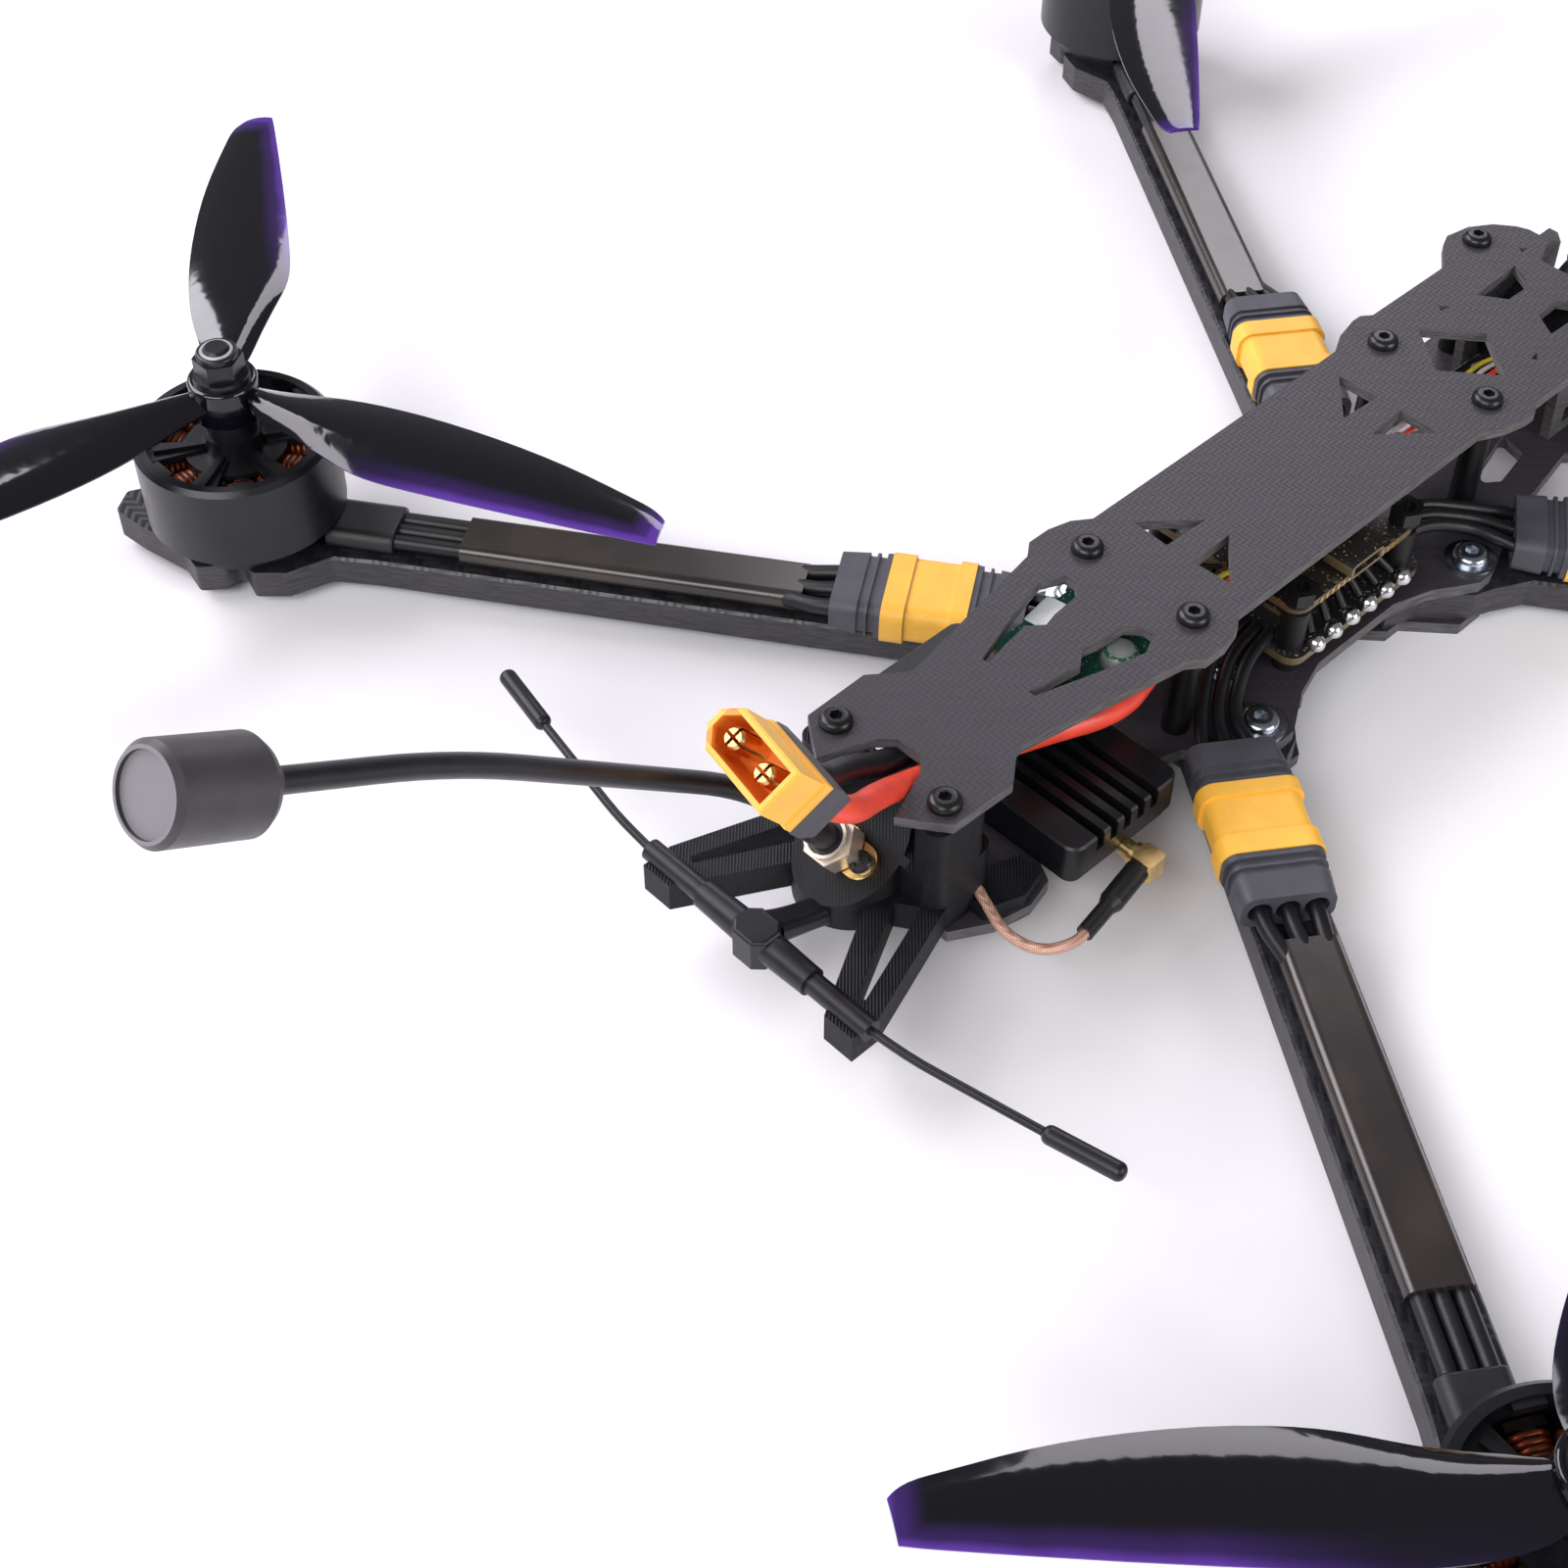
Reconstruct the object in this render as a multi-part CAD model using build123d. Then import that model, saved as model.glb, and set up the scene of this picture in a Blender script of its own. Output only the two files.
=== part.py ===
from build123d import *
import os
from math import atan2, cos, degrees, hypot, pi, radians, sin, tan

# Long-range quadcopter. +Z up, nose towards -Y, tail towards +Y. The origin is
# on the underside of the bottom plate, below the centre of the board stack.

# Driving dimensions, mm
BOTTOM_T = 2.5                      # bottom plate
ARM_T = 6.0
MAIN_T = 2.5                        # main plate, on the arms
TOP_T = 2.0
STANDOFF_L = 24.0
MOTOR_X, MOTOR_Y = 147.0, 125.5     # motor axes, from the stack centre
ARM_ROOT_Y = 23.2                   # where an arm's centre line meets X = 0
ARM_W = 14.0
STACK = 30.5                        # board hole spacing
CLAMP_X, CLAMP_Y = 22.0, 31.0       # outer arm clamp bolts
INNER_X, INNER_Y = 7.5, 25.0        # inner arm clamp bolts
PROP_R = 88.5
PROP_PITCH = 101.6                  # advance in one turn
BELL_R = 18.75
SHAFT_R = 2.5
RUNNING = 0.04                      # radial clearance of a turning fit
M3 = 1.5                            # clearance radius in plates
SHANK = 1.45
WIRE_R = 1.5                        # motor phase wires
LEAD_D = 4.4                        # battery leads
CAMERA_Y, CAMERA_Z = -80.0, 22.6    # tilt axis
CAMERA_TILT = 25.0

ARM_Z = BOTTOM_T
MAIN_Z = ARM_Z + ARM_T              # underside of the main plate
DECK_Z = MAIN_Z + MAIN_T            # upper face of the main plate
TOP_Z = DECK_Z + STANDOFF_L         # underside of the top plate
ROOF_Z = TOP_Z + TOP_T
ARM_ANGLE = degrees(atan2(MOTOR_Y - ARM_ROOT_Y, MOTOR_X))
MOTOR_U = hypot(MOTOR_X, MOTOR_Y - ARM_ROOT_Y)
STANDOFFS = [(12.1, 101.8), (11.8, 41.6), (11.8, -41.6), (19.0, -81.5)]
CORNERS = {"rl": (1, 1), "rr": (-1, 1), "fl": (1, -1), "fr": (-1, -1)}

os.makedirs("parts", exist_ok=True)


# ---------------------------------------------------------------- helpers
def both_sides(half):
    """Closed outline from its +X half, listed from nose to tail."""
    return half + [(-x, y) for x, y in reversed(half) if x > 0]


def slab(points, z, height):
    return Pos(0, 0, z) * extrude(make_face(Polyline(*points, close=True)), height)


def box(x0, x1, y0, y1, z0, z1):
    return Pos((x0 + x1) / 2, (y0 + y1) / 2, (z0 + z1) / 2) * Box(x1 - x0, y1 - y0, z1 - z0)


def rod(x, y, z0, z1, radius):
    return Pos(x, y, (z0 + z1) / 2) * Cylinder(radius, z1 - z0)


def tube(x, y, z0, z1, radius, bore):
    return rod(x, y, z0, z1, radius) - rod(x, y, z0 - 1, z1 + 1, bore)


def hexagon(x, y, z0, z1, across, bore=0.0):
    body = Pos(x, y, z0) * extrude(RegularPolygon(across / 2, 6, major_radius=False), z1 - z0)
    return body - rod(x, y, z0 - 1, z1 + 1, bore) if bore else body


def mirrored_x(points):
    return [(sx * x, y) for x, y in points for sx in (1, -1)]


def four_corners(x, y):
    return [(sx * x, sy * y) for sx in (1, -1) for sy in (1, -1)]


def along(origin, axis, distance, side=(0, 0, 0)):
    return tuple(o + a * distance + s for o, a, s in zip(origin, axis, side))


def facing(origin, axis, x_dir=(1, 0, 0)):
    """A plane at origin whose Z is the axis."""
    return Plane(origin=origin, x_dir=x_dir, z_dir=axis)


def route(points, share=0.45):
    """Straight runs joined by the largest tangent arcs that they allow."""
    spots = [Vector(*p) for p in points]
    runs = [b - a for a, b in zip(spots, spots[1:])]
    radii = [share * min(a.length, b.length) / tan(radians(a.get_angle(b)) / 2)
             for a, b in zip(runs, runs[1:])]
    return FilletPolyline(*points, radius=radii) if len(radii) > 1 else FilletPolyline(
        *points, radius=radii[0]), radii


def cable(points, diameter, name=""):
    path, radii = route(points)
    start = Plane(origin=path @ 0, z_dir=path % 0)
    body = sweep(start * Circle(diameter / 2), path)
    if name:
        print(name, "length", round(path.length, 1), "radii", [round(r, 1) for r in radii],
              "volume ratio", round(body.volume / (path.length * pi * diameter ** 2 / 4), 4))
    return body


def button_screw(x, y, z, head_r, head_h, shank_r, length, socket):
    """Domed screw with a hex socket; the head stands on z, the shank goes down."""
    head = rod(x, y, z, z + head_h, head_r)
    head = fillet(head.edges().group_by(Axis.Z)[-1], head_h * 0.75)
    head -= hexagon(x, y, z + head_h * 0.45, z + head_h + 1, socket)
    return head + rod(x, y, z - length, z, shank_r)


def flat_screw(x, y, z, shank_r, length):
    """Countersunk screw, its flat face down on z, its shank going up."""
    cone = Pos(x, y, z + 0.85) * Cone(2.8, shank_r, 1.7)
    cone -= hexagon(x, y, z - 0.01, z + 1.1, 2.0)
    return cone + rod(x, y, z + 1.6, z + length, shank_r)


def sink(x, y, z, bore):
    """Countersunk hole for a flat screw."""
    return Pos(x, y, z + 0.85) * Cone(2.85, bore, 1.7) + rod(x, y, z, z + 20, bore)


def save(name, shape):
    solids = shape if isinstance(shape, list) else [shape]
    flat = [s for item in solids for s in item.solids()]
    export_step(Compound(children=flat) if len(flat) > 1 else flat[0], f"parts/{name}.step")


# ---------------------------------------------------------------- frame plates
def plate_holes(z):
    return [rod(x, y, z - 5, z + 10, M3) for x, y in mirrored_x(STANDOFFS)]


def bottom_plate():
    rear = [(12.6, 7), (18.8, 12.6), (18.8, 16.6), (27, 24), (27, 31), (14, 40), (0, 40)]
    body = slab(both_sides([(x, -y) for x, y in reversed(rear)] + rear), 0, BOTTOM_T)
    cuts = [rod(x, y, -1, 4, 3.0) for x, y in four_corners(CLAMP_X, CLAMP_Y)
            + four_corners(INNER_X, INNER_Y)]
    cuts += [sink(x, y, 0, M3) for x, y in four_corners(STACK / 2, STACK / 2)]
    return body - cuts - [box(-9, 9, sy * 8 - 4, sy * 8 + 4, -1, 4) for sy in (1, -1)]


def main_plate():
    half = [(0, -84), (8, -84), (11, -88), (19, -88), (23.5, -84), (23.5, -77), (16.5, -70),
            (19, -56), (19.5, -45), (24, -39), (27, -31), (27, -27.5), (22, -19), (19.5, -11),
            (19.5, 11), (22, 19), (27, 27.5), (27, 31), (24, 39), (16.5, 45), (13, 56),
            (13, 80), (20.5, 84), (22, 90), (20.5, 97), (16.5, 104), (0, 104)]
    body = slab(both_sides(half), MAIN_Z, MAIN_T)
    egg = make_face(Polyline((4.8, -66), (11, -64), (12.9, -54), (10.6, -51), (8, -53.5), close=True))
    egg = fillet(egg.vertices(), 0.9)
    cuts = [Pos(0, 0, MAIN_Z - 1) * extrude(mirror(egg, Plane.YZ) if sx < 0 else egg, 5)
            for sx in (1, -1)]
    cuts += [sink(x, y, MAIN_Z, M3) for x, y in mirrored_x(STANDOFFS)]
    cuts += [rod(x, y, MAIN_Z - 1, DECK_Z + 1, 2.05) for x, y in
             four_corners(CLAMP_X, CLAMP_Y) + four_corners(INNER_X, INNER_Y)]
    cuts += [rod(x, y, MAIN_Z - 1, DECK_Z + 1, M3) for x, y in four_corners(STACK / 2, STACK / 2)]
    return body - cuts


def top_outline():
    nose = [(0, -85), (6.5, -85), (9.5, -91.8), (14, -92), (16.5, -91), (20, -88.3),
            (22.8, -84), (23.9, -78.4), (22.6, -75.4), (18.2, -69.5)]
    flank = [(18.3, -47.2), (19.8, -45.2), (19.8, -42.8), (18.6, -37.5), (16.3, -33),
             (16.3, 35), (18.6, 38.3), (19.8, 42.8), (19.8, 47.6), (17.6, 50.5)]
    tail = [(11.8, 83.9), (12, 85.1), (16.6, 91), (16.3, 104), (12.1, 107.1), (8.6, 109.5),
            (5, 99.8), (2.5, 97.3), (0, 97.3)]
    return both_sides(nose + flank + tail)


def top_windows():
    """Lightening cut-outs of the top plate, the +X one of each pair."""
    return {
        "keyhole": [(4.4, 74.3), (5.9, 74.3), (9.8, 61.5), (11.8, 53.6), (9.8, 49.4), (7.6, 49.4),
                    (5.2, 51.6), (4.7, 57.8), (4, 60.6), (6.3, 63.6), (5.5, 69)],
        "rear_triangle": [(2.6, 21), (3, 31), (11, 30.6)],
        "front_triangle": [(3.2, -18.6), (2.6, -28), (11.3, -27.7)],
        "nose_window": [(3.4, -70), (8.4, -66.8), (9, -80), (3.2, -76.6)],
        "small_slot": [(10.2, -57.6), (11.4, -58.6), (9.8, -60)],
        "nose_slot": [(10.7, -84.6), (12, -85.6), (10.4, -86.8)],
    }


def top_plate():
    body = slab(top_outline(), TOP_Z, TOP_T)
    cuts = plate_holes(TOP_Z)
    for points in top_windows().values():
        for sx in (1, -1):
            cuts.append(slab([(sx * x, y) for x, y in points], TOP_Z - 1, 4))
    cuts.append(slab([(0, -42), (9.8, -50), (0, -58.2), (-9.8, -50)], TOP_Z - 1, 4))
    return body - cuts


# ---------------------------------------------------------------- arms
def arm_frame(sx, sy):
    """Takes arm coordinates (u outwards, v to the side, z) to one of the four arms."""
    def place(shape):
        shape = Pos(0, ARM_ROOT_Y, 0) * Rot(0, 0, ARM_ANGLE) * shape
        if sx < 0:
            shape = mirror(shape, Plane.YZ)
        return mirror(shape, Plane.XZ) if sy < 0 else shape
    return place


def arm_point(u, v, z=0.0, sx=1, sy=1):
    c, s = cos(radians(ARM_ANGLE)), sin(radians(ARM_ANGLE))
    return sx * (u * c - v * s), sy * (ARM_ROOT_Y + u * s + v * c), z


def motor_bolts():
    return [(MOTOR_U + 9.5 * cos(radians(a)), 9.5 * sin(radians(a))) for a in (45, 135, 225, 315)]


def arm():
    w = ARM_W / 2
    side = [(152, w), (161, w + 0.6), (167.6, 13.2), (173.9, 14.5), (177.8, 9.6), (179.6, 13.6),
            (184.8, 15.1), (189.2, 10.4), (199.3, 6.2), (205.5, 2.8)]
    outline = [(4, w)] + side + [(u, -v) for u, v in reversed(side)] + [(4, -w)]
    face = make_face(Polyline(*outline, close=True))
    face = fillet(face.vertices().filter_by(lambda p: p.X > 165), 1.2)
    shaft = Pos(0, ARM_ROOT_Y, ARM_Z) * Rot(0, 0, ARM_ANGLE) * extrude(face, ARM_T)
    root = slab([(0.4, 12.6), (17.8, 12.6), (20, 19), (27.2, 26.6), (28.6, 30.5), (33, 39),
                 (22, 45), (13, 39.8), (0.4, 31)], ARM_Z, ARM_T)
    body = shaft + root
    body &= box(0.4, 400, 0, 400, 0, 20)
    cuts = [rod(CLAMP_X, CLAMP_Y, 0, 20, 2.05), rod(INNER_X, INNER_Y, 0, 20, 2.05),
            rod(STACK / 2, STACK / 2, 0, 20, M3)]
    cuts += [rod(*arm_point(u, v)[:2], 0, 20, M3) for u, v in motor_bolts()]
    cuts.append(rod(MOTOR_X, MOTOR_Y, 0, 20, 4.5))
    body -= cuts
    long_edges = body.edges().filter_by(Plane.XY).group_by(Axis.Z)[-1]
    straight = [e for e in long_edges if e.length > 90]
    return chamfer(straight, 0.5)


def save_arms():
    whole = arm()
    for name, (sx, sy) in {"rear_left": (1, 1), "rear_right": (-1, 1), "front_left": (1, -1),
                           "front_right": (-1, -1)}.items():
        shape = mirror(whole, Plane.YZ) if sx < 0 else whole
        save("arm_" + name, mirror(shape, Plane.XZ) if sy < 0 else shape)


# ---------------------------------------------------------------- fasteners of the frame
def standoffs():
    grip = []
    for x, y in mirrored_x(STANDOFFS):
        post = tube(x, y, DECK_Z, TOP_Z, 2.5, M3)
        grip.append(chamfer(post.edges().group_by(Axis.Z)[-1].filter_by(
            lambda e: e.radius > 2), 0.3))
    return grip


def top_screws():
    return [button_screw(x, y, ROOF_Z, 2.85, 1.7, SHANK, 9, 2.0) for x, y in mirrored_x(STANDOFFS)]


def base_screws():
    return [flat_screw(x, y, MAIN_Z, SHANK, 9) for x, y in mirrored_x(STANDOFFS)]


def clamp_spots():
    return four_corners(CLAMP_X, CLAMP_Y) + four_corners(INNER_X, INNER_Y)


def clamp_bolts():
    return [button_screw(x, y, DECK_Z + 0.8, 3.4, 1.8, 1.95, 11.5, 2.4) for x, y in clamp_spots()]


def clamp_washers():
    return [tube(x, y, DECK_Z, DECK_Z + 0.8, 4.8, 2.05) for x, y in clamp_spots()]


def clamp_nuts():
    return [tube(x, y, 0, BOTTOM_T, 2.98, 2.0) for x, y in clamp_spots()]


# ---------------------------------------------------------------- board stack
ESC_Z, ESC_T, FC_Z, FC_T = 14.4, 1.6, 24.4, 1.6
PAD_X = 18.9
PAD_Y = [2.5, 7.6, 12.6]
PHASE_X = [7.1, 9.8, 12.4]
PHASE_Y = 18.0


def board(half_x, half_y, z, thickness):
    sheet = box(-half_x, half_x, -half_y, half_y, z, z + thickness)
    sheet = fillet(sheet.edges().filter_by(Axis.Z), 3)
    return sheet - [rod(x, y, z - 1, z + 5, 1.6) for x, y in four_corners(STACK / 2, STACK / 2)]


def esc_board():
    body = board(19.2, 19.0, ESC_Z, ESC_T)
    chips = [box(x - 2.3, x + 2.3, y - 2.3, y + 2.3, ESC_Z + ESC_T, ESC_Z + ESC_T + 1.1)
             for x in (-8.4, -2.8, 2.8, 8.4) for y in (-9, -3, 3, 9)]
    chips += [box(-14.5, 14.5, -9.5, 9.5, ESC_Z - 1.4, ESC_Z)]
    for chip in chips:
        body += chip
    return body


def solder_joints():
    """Domes along both side edges of the lower board, and pads where wires land."""
    domes = []
    for x in (-PAD_X, PAD_X):
        for y in PAD_Y + [-v for v in PAD_Y]:
            bead = Pos(x, y, ESC_Z + ESC_T + 0.5) * Sphere(1.8)
            domes.append(bead & box(x - 3, x + 3, y - 3, y + 3, ESC_Z + ESC_T, ESC_Z + 5))
    for x, y in mirrored_x([(x, s * PHASE_Y) for x in PHASE_X for s in (1, -1)]):
        domes.append(box(x - 1.1, x + 1.1, y - 0.8, y + 0.8, ESC_Z + ESC_T, ESC_Z + ESC_T + 0.6))
    return domes


def phase_stubs():
    """Short wires from the side pads to under the upper board."""
    stubs = []
    for sx in (1, -1):
        for y in PAD_Y + [-v for v in PAD_Y]:
            spots = [(17, 0.92 * y, 17.2), (14.6, 0.82 * y, 19.6), (12.4, 0.74 * y, 21.4)]
            stubs.append(cable([(sx * x, v, z) for x, v, z in spots], 1.7))
    return stubs


def fc_board():
    body = board(17.3, 17.3, FC_Z, FC_T)
    chips = [box(-4, 4, -4, 4, FC_Z + FC_T, FC_Z + FC_T + 1.2),
             box(-11, -7, 6, 10, FC_Z + FC_T, FC_Z + FC_T + 1.0),
             box(7, 12, -10, -6, FC_Z + FC_T, FC_Z + FC_T + 1.0),
             box(-8, 8, -16.5, -13, FC_Z + FC_T, FC_Z + FC_T + 2.6),
             box(-8, 8, 12.6, 15.6, FC_Z - 2.4, FC_Z)]
    for chip in chips:
        body += chip
    return body


def usb_port():
    shell = box(-18.4, -12.2, -4.6, 4.6, FC_Z + FC_T, FC_Z + FC_T + 3.1)
    shell = fillet(shell.edges().filter_by(Axis.X), 1.2)
    return shell - box(-20, -14, -3.7, 3.7, FC_Z + FC_T + 0.7, FC_Z + FC_T + 2.4)


def stack_levels():
    return [(DECK_Z, ESC_Z), (ESC_Z + ESC_T, FC_Z), (FC_Z + FC_T, FC_Z + FC_T + 1.0)]


def stack_grommets():
    return [tube(x, y, low, high, 2.5, 1.6) for x, y in four_corners(STACK / 2, STACK / 2)
            for low, high in stack_levels()]


def stack_screws():
    return [flat_screw(x, y, 0, SHANK, 28.4) for x, y in four_corners(STACK / 2, STACK / 2)]


def stack_nuts():
    z = FC_Z + FC_T + 1.0
    return [hexagon(x, y, z, z + 2.6, 5.5, M3) for x, y in four_corners(STACK / 2, STACK / 2)]


# ---------------------------------------------------------------- receiver
def receiver_board():
    body = box(-11, 11, 45.5, 66.5, 30.0, 31.0)
    body = fillet(body.edges().filter_by(Axis.Z), 1)
    body += [box(5, 9, 49, 56, 31, 32.4), box(-10, -7.5, 59, 64, 31, 32)]
    can = rod(-6.6, 53.5, 31, 34.2, 3.2)
    return body + fillet(can.edges().group_by(Axis.Z)[-1], 1.2)


# ---------------------------------------------------------------- video transmitter
VTX = dict(x0=-24.5, x1=27.0, y0=56.5, y1=83.0, seam=13.0, top=20.0)


def vtx_case():
    v = VTX
    body = box(v["x0"] + 0.8, v["x1"] - 0.8, v["y0"] + 0.8, v["y1"] - 0.8, DECK_Z, v["seam"])
    body = fillet(body.edges().filter_by(Axis.Z), 2.2)
    jack = Pos(*JACK) * Rot(0, 90, 0) * Cylinder(0.8, 4.4)
    return body - jack


def vtx_heatsink():
    v = VTX
    body = box(v["x0"], v["x1"], v["y0"], v["y1"], v["seam"], v["top"])
    body = fillet(body.edges().filter_by(Axis.Z), 2.6)
    body = chamfer(body.edges().group_by(Axis.Z)[-1], 0.4)
    pitch, slot = 3.35, 1.75
    grooves = [box(v["x0"] - 1, 8, y - slot / 2, y + slot / 2, v["top"] - 3.4, v["top"] + 1)
               for y in [63.2 + pitch * k for k in range(5)]]
    return body - grooves


# ---------------------------------------------------------------- video coax
JACK = (-24.6, 70.0, 12.0)
COAX_POINTS = [(-29.6, 72.4, 12), (-31.4, 82, 12), (-33, 91.6, 12), (-30, 97.2, 12.3),
               (-24, 98.8, 13), (-17.2, 96.6, 14.2), (-12.6, 95.1, 15)]


def mmcx_plug():
    barrel = Pos(JACK[0] - 1.6, JACK[1], JACK[2]) * Rot(0, 90, 0) * Cylinder(1.7, 3.2)
    barrel += Pos(JACK[0] - 2.6, JACK[1], JACK[2]) * Rot(0, 90, 0) * Cylinder(2.2, 1.0)
    elbow = box(JACK[0] - 7.4, JACK[0] - 3.0, JACK[1] - 2.2, JACK[1] + 2.2, JACK[2] - 2.1, JACK[2] + 2.1)
    elbow = chamfer(elbow.edges().filter_by(Axis.Z), 0.6)
    pin = Pos(JACK[0] + 1.0, JACK[1], JACK[2]) * Rot(0, 90, 0) * Cylinder(0.75, 2.0)
    return barrel + elbow + pin


def coax_sleeve():
    """Shrink tube from the plug over the first part of the coax."""
    path, _ = route(COAX_POINTS)
    length = 0.38 * path.length
    shares = [0.0, 0.5, 0.6, 1.0]
    radii = [2.1, 2.1, 1.5, 1.5]
    rings = [Plane(origin=path @ (0.38 * t), z_dir=path % (0.38 * t)) * Circle(r)
             for t, r in zip(shares, radii)]
    body = loft(rings[:2], ruled=True) + loft(rings[1:3], ruled=True) + loft(rings[2:], ruled=True)
    print("coax_sleeve length", round(length, 1))
    return body - coax_pigtail()


def coax_pigtail():
    return cable(COAX_POINTS, 1.9, "coax_pigtail")


# ---------------------------------------------------------------- tail mount and its antennas
SMA_TILT = 56.0                                  # above the horizon, towards the tail
SMA_AXIS = (0.0, cos(radians(SMA_TILT)), sin(radians(SMA_TILT)))
SMA_FACE = (1.5, 109.9, 21.2)                    # centre of the sloping seat
T_HUB = (0.0, 130.6, 17.6)
T_TUBE_R = 1.95


def sma_plane(distance=0.0):
    return facing(along(SMA_FACE, SMA_AXIS, distance), SMA_AXIS)


def tail_mount():
    block = box(-16, 16, 93, 107, DECK_Z, 24)
    block = fillet(block.edges().filter_by(Axis.Z), 3)
    for sx in (1, -1):
        post = box(min(sx * 9.6, sx * 16), max(sx * 9.6, sx * 16), 95, 107, 23.5, TOP_Z)
        block += fillet(post.edges().filter_by(Axis.Z), 2.5)
        block += slab([(sx * 15, 85.5), (sx * 20, 85.5), (sx * 21.5, 91), (sx * 19, 98), (sx * 14, 98),
                       (sx * 12, 93.5)], DECK_Z, 3)
    nose = rod(SMA_FACE[0], 108.5, DECK_Z, 40, 9.6)
    nose += box(SMA_FACE[0] - 9.6, SMA_FACE[0] + 9.6, 104, 108.5, DECK_Z, 24)
    above = sma_plane() * Pos(0, 0, 30) * Box(60, 90, 60)
    block -= above & box(-9.4, 9.4, 90, 125, DECK_Z, 60)
    block += nose - above
    block += t_brackets()
    cuts = [rod(x, y, 0, 50, 2.55) for x, y in mirrored_x(STANDOFFS[:1])]
    cuts.append(extrude(sma_plane(-9) * Circle(2.4), 12))
    inward = tuple(b - a for a, b in zip(COAX_POINTS[-2], COAX_POINTS[-1]))
    cuts.append(extrude(facing(COAX_POINTS[-2], inward) * Circle(1.25), 12))
    cuts.append(box(-8.2, 8.2, 92, 100.2, 24, 40))
    return block - cuts


def t_brackets():
    """Two open triangular arms that carry the diversity antenna."""
    arms = None
    for sx in (1, -1):
        outer = slab([(sx * 6, 112), (sx * 8, 104), (sx * 16, 104), (sx * 24.2, 127.6),
                      (sx * 24.2, 133.4), (sx * 18, 133.4)], DECK_Z, 6)
        window = slab([(sx * 9.6, 109.5), (sx * 13.4, 107), (sx * 20.3, 126.6), (sx * 19, 127.4)],
                      DECK_Z - 1, 8)
        arms = outer - window if arms is None else arms + (outer - window)
    tube_cut = Pos(0, T_HUB[1], T_HUB[2]) * Rot(0, 90, 0) * Cylinder(T_TUBE_R, 60)
    clear = [box(min(sx * 15, sx * 30), max(sx * 15, sx * 30), T_HUB[1] - 1.7, T_HUB[1] + 1.7,
                 T_HUB[2], 30) for sx in (1, -1)]
    return arms - tube_cut - clear


def diversity_antenna():
    """T-shaped receiver antenna body: hub, stepped side tubes and a stem to the mount."""
    x, y, z = T_HUB
    hub = box(-3.8, 3.8, y - 3.2, y + 3.5, z - 3.2, z + 3.2)
    body = chamfer(hub.edges().filter_by(Axis.Z), 1.7)
    body = fillet(body.edges().group_by(Axis.Z)[-1], 0.7)
    for sx in (1, -1):
        side = facing((sx * 2, y, z), (sx, 0, 0), (0, 1, 0))
        body += loft([side * Circle(2.8), side.offset(10.4) * Circle(2.5)])
        body += extrude(side * Circle(T_TUBE_R), 23.5)
    back = (0, -1, 0)
    stem = loft([facing((0, y - 3.2, z), back) * RectangleRounded(5.6, 5.2, 1.8),
                 facing((-0.3, 123.4, 15.9), back) * RectangleRounded(5.0, 4.6, 1.6),
                 facing((-0.6, 117.6, 13.8), back) * RectangleRounded(5.0, 4.2, 1.4)])
    return body + stem


def whiskers():
    """The two spring-steel elements with their moulded tips."""
    parts = []
    y, z = T_HUB[1], T_HUB[2]
    for sx in (1, -1):
        points = [(sx * 25.5, y, z), (sx * 34, y - 0.5, z + 0.5), (sx * 57, y - 4.2, z + 2.2)]
        parts.append(cable(points, 1.5))
        tip_axis = (sx * 0.982, -0.17, 0.08)
        base = facing(points[-1], tip_axis)
        tip = extrude(base * Circle(1.55), 14)
        parts.append(fillet(tip.edges().filter_by(GeomType.CIRCLE), 1.2))
    return parts


def sma_flange():
    """Two-hole panel jack: plate, barrel and the stub behind it."""
    plate = extrude(sma_plane() * SlotOverall(14.6, 6.2), 1.6)
    plate += extrude(sma_plane() * Circle(4.1), 1.6)
    plate += extrude(sma_plane(1.6) * Circle(3.1), 5.4)
    plate += extrude(sma_plane(-7) * Circle(2.35), 7.01)
    holes = [extrude(sma_plane(-1) * Pos(sx * 5, 0, 0) * Circle(1.3), 5) for sx in (1, -1)]
    return plate - holes


def sma_nut():
    grip = extrude(sma_plane(2.0) * RegularPolygon(4.0, 6, major_radius=False), 4.6)
    collar = extrude(sma_plane(6.6) * Circle(3.7), 1.6)
    return grip + collar - extrude(sma_plane(1) * Circle(3.1 + RUNNING), 10)


def antenna_axis_point(distance):
    return along(SMA_FACE, SMA_AXIS, distance)


ANTENNA_BEND = (SMA_FACE[0], 130.6, 51.9)
ANTENNA_KNEE = (SMA_FACE[0], 181.0, 94.6)
ANTENNA_NECK = (SMA_FACE[0], 206.0, 109.8)


def antenna_stalk():
    start = antenna_axis_point(8.2)
    stalk = cable([start, ANTENNA_BEND, ANTENNA_KNEE, ANTENNA_NECK], 3.5, "antenna_stalk")
    sleeve = extrude(sma_plane(8.2) * Circle(2.45), 13)
    sleeve += loft([sma_plane(21.2) * Circle(2.45), sma_plane(23) * Circle(1.8)])
    ferrule = extrude(sma_plane(7.05) * Circle(3.0), 1.25)
    return stalk + sleeve + ferrule


def antenna_head():
    axis = tuple(b - a for a, b in zip(ANTENNA_KNEE, ANTENNA_NECK))
    size = hypot(*axis)
    axis = tuple(a / size for a in axis)
    plane = facing(ANTENNA_NECK, axis)
    rings = [(0, 2.6), (2.4, 3.6), (2.6, 5.4), (4.0, 6.4), (17.0, 6.4), (17.9, 5.7)]
    profile = [(0, 0)] + [(r, d) for d, r in rings] + [(5.2, 17.9), (5.2, 17.3), (0, 17.3)]
    face = make_face(Polyline(*profile, close=True))
    return plane * (Rot(90, 0, 0) * Rot(0, 0, 0) * revolve(face, Axis.Y))


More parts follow.
